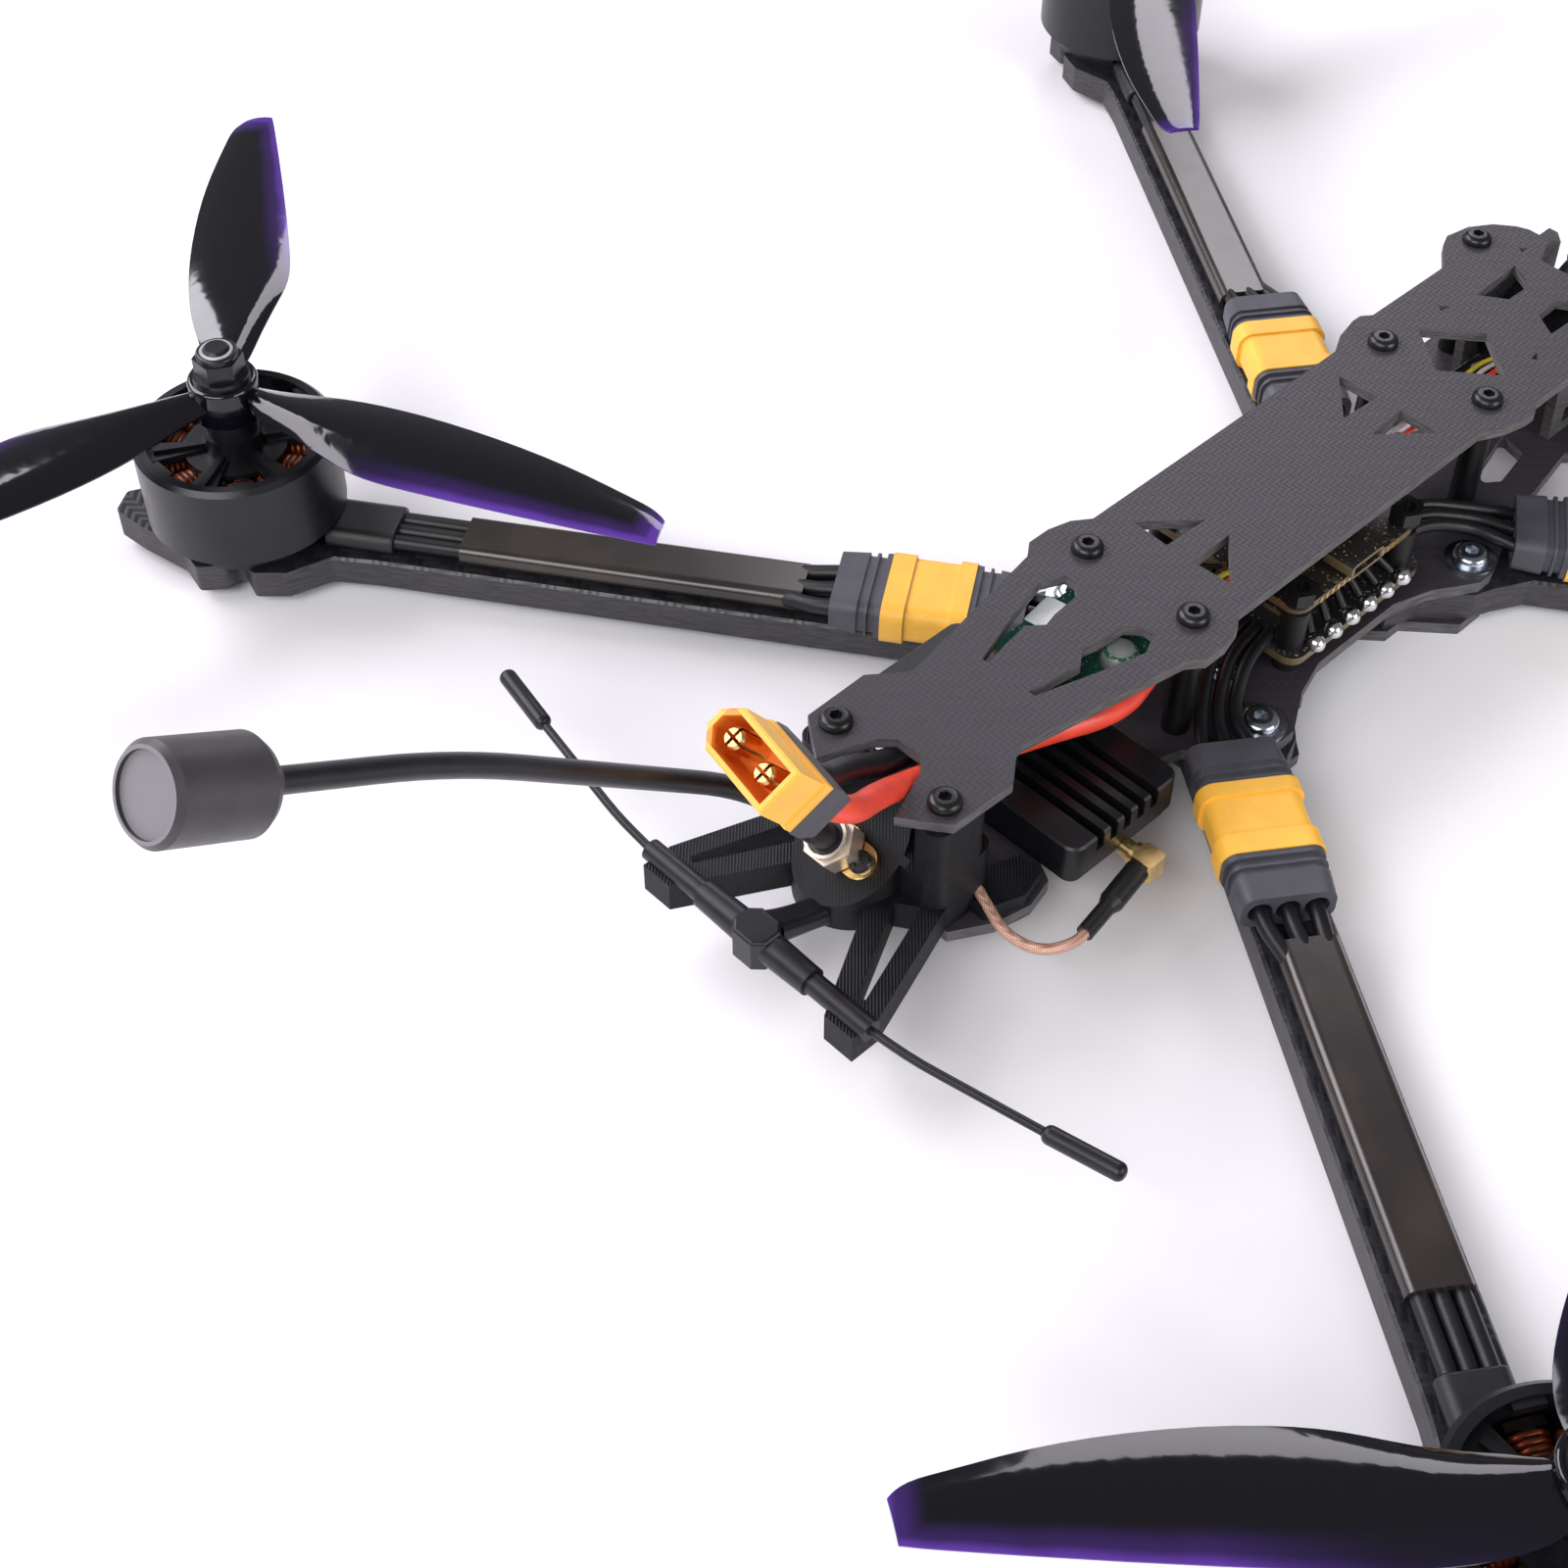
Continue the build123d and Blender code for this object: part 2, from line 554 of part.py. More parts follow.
# ---------------------------------------------------------------- battery leads and plug
PLUG_AXIS = (-0.013, 0.6097, 0.7926)
PLUG_LONG = (-0.9823, 0.1402, -0.1239)           # from the black lead's side to the red one's
PLUG_L = 18.0
PLUG_BACK = (-9.47, 130.23, 61.13)
PIN_PITCH = 7.2
RED_POINTS = [(-3.4, 17.6, 18.6), (-3.8, 30, 19.4), (-6.4, 43.5, 22.6), (-11.6, 58, 26.0),
              (-7.0, 73, 28.0), (-3.6, 86.6, 29.6), (-2.5, 99.8, 32.4), (-6.8, 111.8, 42.2)]
BLACK_POINTS = [(3.4, 17.6, 18.6), (3.8, 30, 19.2), (6.2, 44, 22.0), (8.4, 58.5, 25.6),
                (6.4, 73, 28.2), (3.0, 86.4, 30.2), (2.8, 99.4, 32.6), (0.4, 112.2, 42.8)]


def plug_plane(distance=0.0):
    return Plane(origin=along(PLUG_BACK, PLUG_AXIS, distance), x_dir=PLUG_LONG, z_dir=PLUG_AXIS)


def lead_end(side):
    end = along(PLUG_BACK, PLUG_LONG, side * PIN_PITCH / 2)
    return [along(end, PLUG_AXIS, -11), end]


def plug_section(length, width, cut):
    """Outline of the plug: a box with two corners cut off at one short end."""
    a, b = length / 2, width / 2
    return make_face(Polyline((a, b), (-a + cut, b), (-a, b - cut), (-a, -b + cut), (-a + cut, -b),
                              (a, -b), close=True))


def plug_bores(start, depth):
    return [extrude(plug_plane(start) * Pos(s * PIN_PITCH / 2, 0) * Circle(1.75), depth) for s in (1, -1)]


def xt60_shell():
    """Yellow housing, its lip towards the cap and its deep socket."""
    body = extrude(plug_plane(8.0) * plug_section(15.9, 8.1, 2.6), PLUG_L - 8.0)
    body += extrude(plug_plane(8.0) * plug_section(16.5, 8.7, 2.8), 2.0)
    body = chamfer(body.edges().filter_by(lambda e: plug_depth(e) > PLUG_L - 0.1), 0.35)
    body -= extrude(plug_plane(9) * plug_section(13.9, 6.1, 2.1), 20)
    return body - plug_bores(6, 6)


def plug_depth(edge):
    """How far an edge's centre is from the plug's back, along its axis."""
    return (edge.center() - Vector(*PLUG_BACK)).dot(Vector(*PLUG_AXIS))


def xt60_pins():
    pins = []
    for s in (1, -1):
        pin = extrude(plug_plane(6.8) * Pos(s * PIN_PITCH / 2, 0) * Circle(1.75), PLUG_L - 7.3)
        pin = chamfer(pin.edges().group_by(plug_depth)[-1], 0.4)
        slots = [extrude(plug_plane(10) * Pos(s * PIN_PITCH / 2, 0) * Rot(0, 0, a)
                         * Rectangle(5, 0.5), 10) for a in (0, 90)]
        pins.append(pin - slots)
    return pins


def xt60_cap():
    back = plug_plane() * plug_section(15.0, 7.6, 2.4)
    front = plug_plane(5.0) * plug_section(16.9, 9.1, 3.0)
    body = loft([back, front]) + extrude(plug_plane(5.0) * plug_section(16.9, 9.1, 3.0), 3.0)
    return body - plug_bores(6.8, 2)


# ---------------------------------------------------------------- motor wiring
CONNECTOR_U = (30.0, 40.0, 55.5, 65.0)           # inner cap, shell, outer cap
SLEEVE_U = (71.0, 136.0)
SHRINK_U = (149.0, 162.0)
CONNECTOR_V = 1.5                                # offset from the arm's centre line
CONNECTOR_Z = MAIN_Z + 4.4
WIRE_Z = MAIN_Z + 2.3
WIRE_PITCH = 3.15
WIRE_SPREAD = 4.8                                # pitch of the connector's holes
MOUTH = 1.8                                      # depth of those holes


def arm_section(u, z):
    """Plane across the arm at u: X is v, Y is up."""
    return Plane(origin=(u, 0, z), x_dir=(0, 1, 0), z_dir=(1, 0, 0))


def connector_plane(u):
    """As arm_section, at the middle of the connector."""
    return Plane(origin=(u, CONNECTOR_V, CONNECTOR_Z), x_dir=(0, 1, 0), z_dir=(1, 0, 0))


def connector_caps():
    """Ribbed end caps of the three-wire connectors, one pair on each arm."""
    u0, u1, u2, u3 = CONNECTOR_U
    caps = []
    for outer, inner in ((u0, u1), (u3, u2)):
        cap = loft([connector_plane(outer) * RectangleRounded(16.0, 7.0, 2.4),
                    connector_plane(inner) * RectangleRounded(17.6, 8.2, 2.7)])
        sign = 1 if inner > outer else -1
        for k in range(2):
            ring = Rectangle(20, 10) - RectangleRounded(15.8, 6.7, 2.3)
            cap -= extrude(connector_plane(inner - sign * (1.8 + 1.9 * k)) * ring, 0.7, both=True)
        mouth = connector_plane(outer + sign * MOUTH) if sign < 0 else connector_plane(outer - 1)
        caps.append(cap - [extrude(mouth * Pos(WIRE_SPREAD * k, 0) * Circle(2.1), MOUTH + 1)
                           for k in (-1, 0, 1)])
    return caps


def connector_shell():
    u1, u2 = CONNECTOR_U[1], CONNECTOR_U[2]
    body = extrude(connector_plane(u1) * RectangleRounded(16.8, 7.9, 2.6), u2 - u1)
    body += extrude(connector_plane(u1) * RectangleRounded(18.2, 8.8, 3.0), 3.0)
    return body + extrude(connector_plane(u2 - 4.2) * RectangleRounded(18.2, 8.8, 3.0), 4.2)


def arm_wires():
    """Phase wires from a connector to its motor, and from the stack to the connector."""
    wires = []
    for k in (-1, 0, 1):
        v_end, v_flat = CONNECTOR_V + WIRE_SPREAD * k, WIRE_PITCH * k
        wires.append(cable([(CONNECTOR_U[3] - MOUTH, v_end, CONNECTOR_Z),
                            (68, 0.94 * v_end, CONNECTOR_Z - 0.7),
                            (76, v_flat, WIRE_Z), (158.8, v_flat, WIRE_Z)], 2 * WIRE_R))
    return wires


def inner_wires(sx, sy):
    """From the pads of the lower board, past the clamp bolt, to the connector's inner end."""
    wires = []
    for k, pad_x in zip((1, 0, -1), PHASE_X):
        end = arm_point(CONNECTOR_U[0] + MOUTH, CONNECTOR_V + WIRE_SPREAD * k, CONNECTOR_Z)
        beside = arm_point(22.5, 2.2 + 2.8 * k, CONNECTOR_Z + 1.4)
        points = [(pad_x, PHASE_Y, 17.9), (pad_x + 1.6, 28.0 + 1.5 * k, 17.8), beside, end]
        wires.append(cable([(sx * x, sy * y, z) for x, y, z in points], 2.5))
    return wires


def wire_sleeve():
    """Flat shrink tube over the three wires."""
    length = SLEEVE_U[1] - SLEEVE_U[0]
    outline = RectangleRounded(2 * WIRE_PITCH + 4.4, 4.3, 1.9)
    body = extrude(arm_section(SLEEVE_U[0], WIRE_Z) * outline, length)
    bores = [extrude(arm_section(SLEEVE_U[0] - 1, WIRE_Z) * Pos(v, 0) * Circle(WIRE_R + 0.04), length + 2)
             for v in (-WIRE_PITCH, 0, WIRE_PITCH)]
    return body - bores


def motor_shrink():
    outline = SlotOverall(11.4, 4.5)
    body = extrude(arm_section(SHRINK_U[0], WIRE_Z) * outline, SHRINK_U[1] - SHRINK_U[0])
    body = fillet(body.edges().group_by(Axis.X)[0], 0.6)
    bores = [extrude(arm_section(SHRINK_U[0] - 1, WIRE_Z) * Pos(v, 0) * Circle(WIRE_R + 0.04), 10.8)
             for v in (-WIRE_PITCH, 0, WIRE_PITCH)]
    return body - bores


# ---------------------------------------------------------------- motors
BASE_T = 3.6
BELL_Z0, BELL_Z1 = MAIN_Z + 5.0, MAIN_Z + 22.0
PROP_Z = BELL_Z1 + 4.8
PROP_H = 7.6
FINS = 6                                         # of the bell's open top
NUT_Z = PROP_Z + PROP_H + 0.9


def motor_base():
    """Mounting foot with its bearing tube, about the motor axis."""
    z = MAIN_Z
    foot = tube(0, 0, z, z + BASE_T, 14.4, SHAFT_R + RUNNING)
    for a in range(0, 360, 90):
        foot -= Rot(0, 0, a) * slab([(9.8, -3), (16, -6), (16, 6), (9.8, 3)], z + 1.6, 5)
    foot = fillet(foot.edges().group_by(Axis.Z)[-1].filter_by(GeomType.CIRCLE), 0.3)
    foot += tube(0, 0, z + BASE_T - 1, BELL_Z1 - 4.4, 5.0, SHAFT_R + RUNNING)
    foot += tube(0, 0, z + BASE_T, z + BASE_T + 1.6, 12.2, 4.9)
    holes = [rod(9.5 * cos(radians(a)), 9.5 * sin(radians(a)), z - 1, z + 3.2, M3)
             for a in (45, 135, 225, 315)]
    return Rot(0, 0, ARM_ANGLE) * (foot - holes)


def stator():
    """Twelve-tooth lamination stack around the bearing tube."""
    z0, z1 = MAIN_Z + 6.6, BELL_Z1 - 4.6
    body = tube(0, 0, z0, z1, 8.2, 5.0)
    for k in range(12):
        tooth = box(7.8, 14.6, -1.1, 1.1, z0, z1)
        shoe = box(14.2, 15.6, -3.0, 3.0, z0, z1)
        body += Rot(0, 0, 30 * k) * (tooth + shoe)
    return body & rod(0, 0, z0, z1, 15.7)


def bell():
    """Can with its open, finned top, the slim hub and the shaft."""
    can = tube(0, 0, BELL_Z0, BELL_Z1, BELL_R, 16.3)
    body = chamfer(can.edges().group_by(Axis.Z)[-1].filter_by(lambda e: e.radius > 17), 0.9)
    body += rod(0, 0, BELL_Z1 - 4.2, BELL_Z1 + 0.6, 5.6)
    body += Pos(0, 0, BELL_Z1 + 2.7) * Cone(4.9, 4.3, 4.2)
    for k in range(FINS):
        fin = slab([(5, -1.1), (16.8, -2.9), (16.8, 2.9), (5, 1.1)], BELL_Z1 - 4.2, 1.6)
        fin += box(5, 15.0, -0.7, 0.7, BELL_Z1 - 3.0, BELL_Z1 - 1.8)
        lug = box(15.0, 17.2, -2.4, 2.4, BELL_Z1 - 2.0, BELL_Z1 - 0.4)
        body += Rot(0, 0, 360 * k / FINS) * (fin + Rot(0, 0, 180 / FINS) * lug)
    body += tube(0, 0, BELL_Z1 - 4.2, BELL_Z1 - 3.2, 9.6, 5)
    shaft = rod(0, 0, MAIN_Z - 3.4, NUT_Z + 5.6, SHAFT_R)
    return body + chamfer(shaft.edges().group_by(Axis.Z)[-1], 0.5)


def nut():
    base = rod(0, 0, NUT_Z - 0.9, NUT_Z + 0.2, 5.2)
    grip = hexagon(0, 0, NUT_Z + 0.2, NUT_Z + 3.7, 8.0)
    dome = rod(0, 0, NUT_Z + 3.7, NUT_Z + 4.9, 3.8)
    dome = fillet(dome.edges().group_by(Axis.Z)[-1], 0.5)
    return base + grip + dome - rod(0, 0, NUT_Z - 2, NUT_Z + 8, SHAFT_R)


# Blade sections: radius, leading edge, trailing edge, thickness
BLADE = [(4.4, 4.2, -4.6, 3.4), (9, 4.9, -7.6, 3.0), (16, 6.2, -11.6, 2.5), (26, 7.9, -12.9, 2.0),
         (38, 8.6, -12.2, 1.7), (54, 7.7, -10.7, 1.4), (70, 5.2, -9.2, 1.1), (82, 2.2, -8.0, 0.9),
         (86.5, 0.6, -7.5, 0.85), (PROP_R, -1.0, -7.2, 0.8)]


def blade(spin):
    """One blade along +X. spin is 1 where the propeller turns from +X to +Y."""
    mid = PROP_Z + PROP_H / 2
    faces = []
    for r, lead, trail, thick in BLADE:
        angle = degrees(atan2(PROP_PITCH, 2 * pi * max(r, 17.0)))
        plane = Plane(origin=(r, 0, mid), x_dir=(0, spin, 0), z_dir=(spin, 0, 0))
        plane = plane.rotated((0, 0, angle))
        crest = lead - 0.42 * (lead - trail)
        rise = 0.05 * (lead - trail)
        top = ThreePointArc((lead, 0.1), (crest, rise + thick / 2), (trail, 0.15))
        under = ThreePointArc((trail, -0.15), (crest, rise - thick / 2), (lead, -0.25))
        ends = [Line((trail, 0.15), (trail, -0.15)), Line((lead, -0.25), (lead, 0.1))]
        faces.append(plane * make_face([top, ends[0], under, ends[1]]))
    return loft(faces)


def propeller(spin):
    hub = rod(0, 0, PROP_Z, PROP_Z + PROP_H, 6.4)
    hub = fillet(hub.edges().group_by(Axis.Z)[-1], 0.8)
    hub -= tube(0, 0, PROP_Z - 1, PROP_Z + 2.4, 5.5, 4.4)
    body = hub
    for k in range(3):
        body += Rot(0, 0, 120 * k) * blade(spin)
    body -= rod(0, 0, PROP_Z + PROP_H, PROP_Z + 20, 8)
    body -= rod(0, 0, PROP_Z - 10, PROP_Z, 8)
    return body - rod(0, 0, PROP_Z - 1, PROP_Z + 10, SHAFT_R)


def motor_screws():
    screws = []
    for sx, sy in CORNERS.values():
        for u, v in motor_bolts():
            x, y, _ = arm_point(u, v, 0, sx, sy)
            screw = button_screw(0, 0, 0, 2.85, 1.6, SHANK, 8.8, 2.0)
            screws.append(Pos(x, y, ARM_Z) * Rot(180, 0, 0) * screw)
    return screws


SPIN = {"rl": 1, "rr": -1, "fl": -1, "fr": 1}
BLADE_ANGLE = {"rl": 83.5, "rr": 47.5, "fl": 15.4, "fr": 22.0}


# ---------------------------------------------------------------- camera
def camera_plates():
    plates = []
    for sx in (1, -1):
        outline = [(-71, DECK_Z), (-96, DECK_Z), (-99, 16), (-98.5, 33), (-96, 36.5), (-92.6, 36.5),
                   (-92.6, TOP_Z), (-73, TOP_Z), (-69, 28)]
        face = make_face(Polyline(*outline, close=True))
        sheet = Plane(origin=(sx * 10.9, 0, 0), x_dir=(0, 1, 0), z_dir=(1, 0, 0))
        body = extrude(sheet * face, 1.0, both=True)
        hole = Pos(sx * 10.9, CAMERA_Y, CAMERA_Z) * Rot(0, 90, 0) * Cylinder(1.0 + RUNNING, 6)
        slot = box(sx * 10.9 - 3, sx * 10.9 + 3, -79.5, -74.5, 13.5, 17)
        plates.append(body - hole - slot)
    return plates


def camera_body():
    body = box(-9.4, 9.4, -9.0, 6, -8.2, 8.2)
    body = fillet(body.edges().filter_by(Axis.Y), 2)
    body += Pos(0, -10.1, 0) * Rot(90, 0, 0) * Cylinder(7.4, 2.4)
    pins = Rot(0, 90, 0) * Cylinder(1.0, 24.2)
    heads = [Pos(sx * 12.9, 0, 0) * Rot(0, 90, 0) * Cylinder(1.9, 1.4) for sx in (1, -1)]
    body = body + pins + heads[0] + heads[1]
    return Pos(0, CAMERA_Y, CAMERA_Z) * Rot(-CAMERA_TILT, 0, 0) * body


def camera_lens():
    barrel = Pos(0, -15.5, 0) * Rot(90, 0, 0) * Cylinder(6.6, 8.0)
    ring = Pos(0, -20.5, 0) * Rot(90, 0, 0) * Cylinder(7.2, 2.4)
    glass = Pos(0, -16.9, 0) * Sphere(8.2) & Pos(0, -24, 0) * Rot(90, 0, 0) * Cylinder(5.6, 6)
    bowl = Pos(0, -20.9, 0) * Rot(90, 0, 0) * Cylinder(5.7, 2.0)
    body = barrel + ring - bowl
    body += Pos(0, -20.0, 0) * Rot(90, 0, 0) * Cone(4.4, 5.69, 1.2)
    return Pos(0, CAMERA_Y, CAMERA_Z) * Rot(-CAMERA_TILT, 0, 0) * body


# ---------------------------------------------------------------- build
def save_frame():
    for name, make in {"bottom_plate": bottom_plate, "main_plate": main_plate,
                       "top_plate": top_plate, "standoffs": standoffs, "top_screws": top_screws,
                       "base_screws": base_screws, "clamp_bolts": clamp_bolts,
                       "clamp_washers": clamp_washers, "clamp_nuts": clamp_nuts}.items():
        save(name, make())
    save_arms()


def save_electronics():
    for name, make in {"esc_board": esc_board, "solder_joints": solder_joints,
                       "fc_board": lambda: [fc_board(), usb_port()],
                       "stack_grommets": stack_grommets, "stack_screws": stack_screws,
                       "stack_nuts": stack_nuts, "receiver_board": receiver_board,
                       "vtx_case": vtx_case, "vtx_heatsink": vtx_heatsink,
                       "mmcx_plug": mmcx_plug, "coax_sleeve": coax_sleeve,
                       "coax_pigtail": coax_pigtail}.items():
        save(name, make())


def save_tail():
    for name, make in {"tail_mount": tail_mount, "sma_flange": sma_flange, "sma_nut": sma_nut,
                       "antenna_stalk": antenna_stalk, "antenna_head": antenna_head,
                       "diversity_antenna": diversity_antenna, "whiskers": whiskers,
                       "xt60_shell": xt60_shell, "xt60_pins": xt60_pins, "xt60_cap": xt60_cap}.items():
        save(name, make())
    save("battery_lead_red", cable(RED_POINTS + lead_end(1), LEAD_D, "battery_lead_red"))
    save("battery_lead_black", cable(BLACK_POINTS + lead_end(-1), LEAD_D, "battery_lead_black"))


def save_wiring():
    places = {name: arm_frame(sx, sy) for name, (sx, sy) in CORNERS.items()}
    caps, shell, wires = connector_caps(), connector_shell(), arm_wires()
    save("connector_caps", [place(cap) for place in places.values() for cap in caps])
    save("connector_shells", [place(shell) for place in places.values()])
    inner = [wire for sx, sy in CORNERS.values() for wire in inner_wires(sx, sy)]
    outer = [place(wire) for place in places.values() for wire in wires]
    save("motor_wires", outer + inner + phase_stubs())
    save("wire_sleeves", [place(wire_sleeve()) for place in places.values()])
    save("motor_shrinks", [place(motor_shrink()) for place in places.values()])


def save_motors():
    spots = {name: Pos(sx * MOTOR_X, sy * MOTOR_Y, 0) for name, (sx, sy) in CORNERS.items()}
    base, core, can, cap = motor_base(), stator(), bell(), nut()
    flip = {name: Rot(0, 0, -2 * ARM_ANGLE) if sx * sy < 0 else Rot(0, 0, 0)
            for name, (sx, sy) in CORNERS.items()}
    save("motor_bases", [spots[n] * flip[n] * base for n in CORNERS])
    save("motor_stators", [spots[n] * core for n in CORNERS])
    save("motor_screws", motor_screws())
    props = {spin: propeller(spin) for spin in (1, -1)}
    for n in CORNERS:
        save("motor_bell_" + n, spots[n] * can)
        save("propeller_" + n, spots[n] * Rot(0, 0, BLADE_ANGLE[n]) * props[SPIN[n]])
        save("prop_nut_" + n, spots[n] * cap)


def save_camera():
    save("camera_plates", camera_plates())
    save("camera_body", camera_body())
    save("camera_lens", camera_lens())


save_frame()
save_electronics()
save_tail()
save_wiring()
save_motors()
save_camera()
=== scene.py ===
import bmesh
import bpy
import random
from math import cos, pi, radians, sin
from mathutils import Matrix, Vector


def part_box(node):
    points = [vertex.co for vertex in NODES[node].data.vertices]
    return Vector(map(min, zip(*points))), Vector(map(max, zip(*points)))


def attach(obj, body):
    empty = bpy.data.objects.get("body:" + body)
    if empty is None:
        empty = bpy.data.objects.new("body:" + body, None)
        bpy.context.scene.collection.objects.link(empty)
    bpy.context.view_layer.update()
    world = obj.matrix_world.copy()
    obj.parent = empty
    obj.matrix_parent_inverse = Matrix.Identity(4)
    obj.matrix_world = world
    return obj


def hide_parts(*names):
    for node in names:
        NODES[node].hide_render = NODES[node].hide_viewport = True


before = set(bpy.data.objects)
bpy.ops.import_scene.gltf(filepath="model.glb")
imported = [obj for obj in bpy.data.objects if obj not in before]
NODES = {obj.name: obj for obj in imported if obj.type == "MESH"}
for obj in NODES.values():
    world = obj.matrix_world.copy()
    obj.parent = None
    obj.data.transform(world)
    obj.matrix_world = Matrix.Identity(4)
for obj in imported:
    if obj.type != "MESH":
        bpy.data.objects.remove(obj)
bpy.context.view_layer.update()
MM = 0.001
CORNERS = ("rl", "rr", "fl", "fr")
MOTOR = {n: Vector([(a + b) / 2 for a, b in zip(*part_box("prop_nut_" + n))]) for n in CORNERS}

# Where the scene is seen from and looks to, in metres.
EYE = (-0.1789, 0.2952, 0.3198)
AIM = (0.0081, 0.1171, 0.037)

# The battery leads' routes, and the plug at their ends, in mm.
LEAD_DIAMETER = 4.4
RED_POINTS = [(-3.4, 17.6, 18.6), (-3.8, 30, 19.4), (-6.4, 43.5, 22.6), (-11.6, 58, 26.0),
              (-7.0, 73, 28.0), (-3.6, 86.6, 29.6), (-2.5, 99.8, 32.4), (-6.8, 111.8, 42.2)]
BLACK_POINTS = [(3.4, 17.6, 18.6), (3.8, 30, 19.2), (6.2, 44, 22.0), (8.4, 58.5, 25.6),
                (6.4, 73, 28.2), (3.0, 86.4, 30.2), (2.8, 99.4, 32.6), (0.4, 112.2, 42.8)]
PLUG_AXIS = Vector((-0.013, 0.6097, 0.7926))
PLUG_LONG = Vector((-0.9823, 0.1402, -0.1239))
PLUG_BACK = Vector((-9.47, 130.23, 61.13))
PIN_OFFSET = 3.6
SOCKET_HALVES = (6.98, 3.09)

# The antenna jack's sloping seat and the camera's tilt axis, in mm and degrees.
SEAT = Vector((1.5, 109.9, 21.2))
SEAT_SLOPE = 56
CAMERA_PIVOT = Vector((0, -80, 22.6))
CAMERA_TILT = 25

# Propellers: 1 turns anticlockwise seen from above. One blade's angle in degrees, its reach in mm.
SPIN = {"rl": 1, "rr": -1, "fl": -1, "fr": 1}
BLADE_ANGLE = {"rl": 83.5, "rr": 47.5, "fl": 15.4, "fr": 22.0}
TIP_RADIUS = 88.5

# Stator coils, in mm from the shaft.
STATOR_TEETH = 12
COIL_TURNS = 5
COIL_START = 9.0
COIL_PITCH = 1.1
COIL_WIRE_RADIUS = 0.52

# Where small parts sit on the lower and the upper board, in mm.
LOWER_CHIP_Z = 16.35
LOWER_PAD_Z = 16.25
UPPER_CHIP_Z = 26.25
UPPER_PAD_Z = 26.15


# ---------------------------------------------------------------- camera, floor and light
def camera():
    data = bpy.data.cameras.new("camera")
    data.lens = 56.1
    data.sensor_width = 36
    data.clip_start = 0.01
    cam = bpy.data.objects.new("camera", data)
    bpy.context.scene.collection.objects.link(cam)
    cam.location = EYE
    aim = Vector(AIM) - cam.location
    cam.rotation_euler = aim.to_track_quat("-Z", "Y").to_euler()
    bpy.context.scene.camera = cam


def lamp(name, at, aim, size, power, colour=(1, 1, 1)):
    data = bpy.data.lights.new(name, "AREA")
    data.shape = "RECTANGLE"
    data.size, data.size_y = size
    data.energy = power
    data.color = colour
    obj = bpy.data.objects.new(name, data)
    bpy.context.scene.collection.objects.link(obj)
    obj.location = at
    obj.rotation_euler = (Vector(aim) - Vector(at)).to_track_quat("-Z", "Y").to_euler()


def studio():
    scene = bpy.context.scene
    scene.view_settings.view_transform = "Standard"
    world = bpy.data.worlds.new("studio")
    world.use_nodes = True
    world.node_tree.nodes["Background"].inputs["Color"].default_value = (0.97, 0.955, 1.0, 1)
    world.node_tree.nodes["Background"].inputs["Strength"].default_value = 0.2
    scene.world = world
    lilac = (0.96, 0.93, 1.0)
    lamp("broad", (1.03, 0.43, 0.85), (0.1, 0.1, 0), (1.2, 0.75), 19, lilac)
    lamp("back", (0.58, -0.81, 0.78), (-0.1, 0.1, 0.02), (0.5, 0.5), 3.6, lilac)
    lamp("fill", (-0.25, 1.35, 1.2), (0, 0.05, 0), (1.5, 0.8), 22)
    lamp("side", (-1.35, -0.25, 0.6), (0, 0, 0), (0.9, 0.6), 11)
    bm = bmesh.new()
    bmesh.ops.create_grid(bm, x_segments=8, y_segments=8, size=3)
    floor = finished("floor", bm, paper())


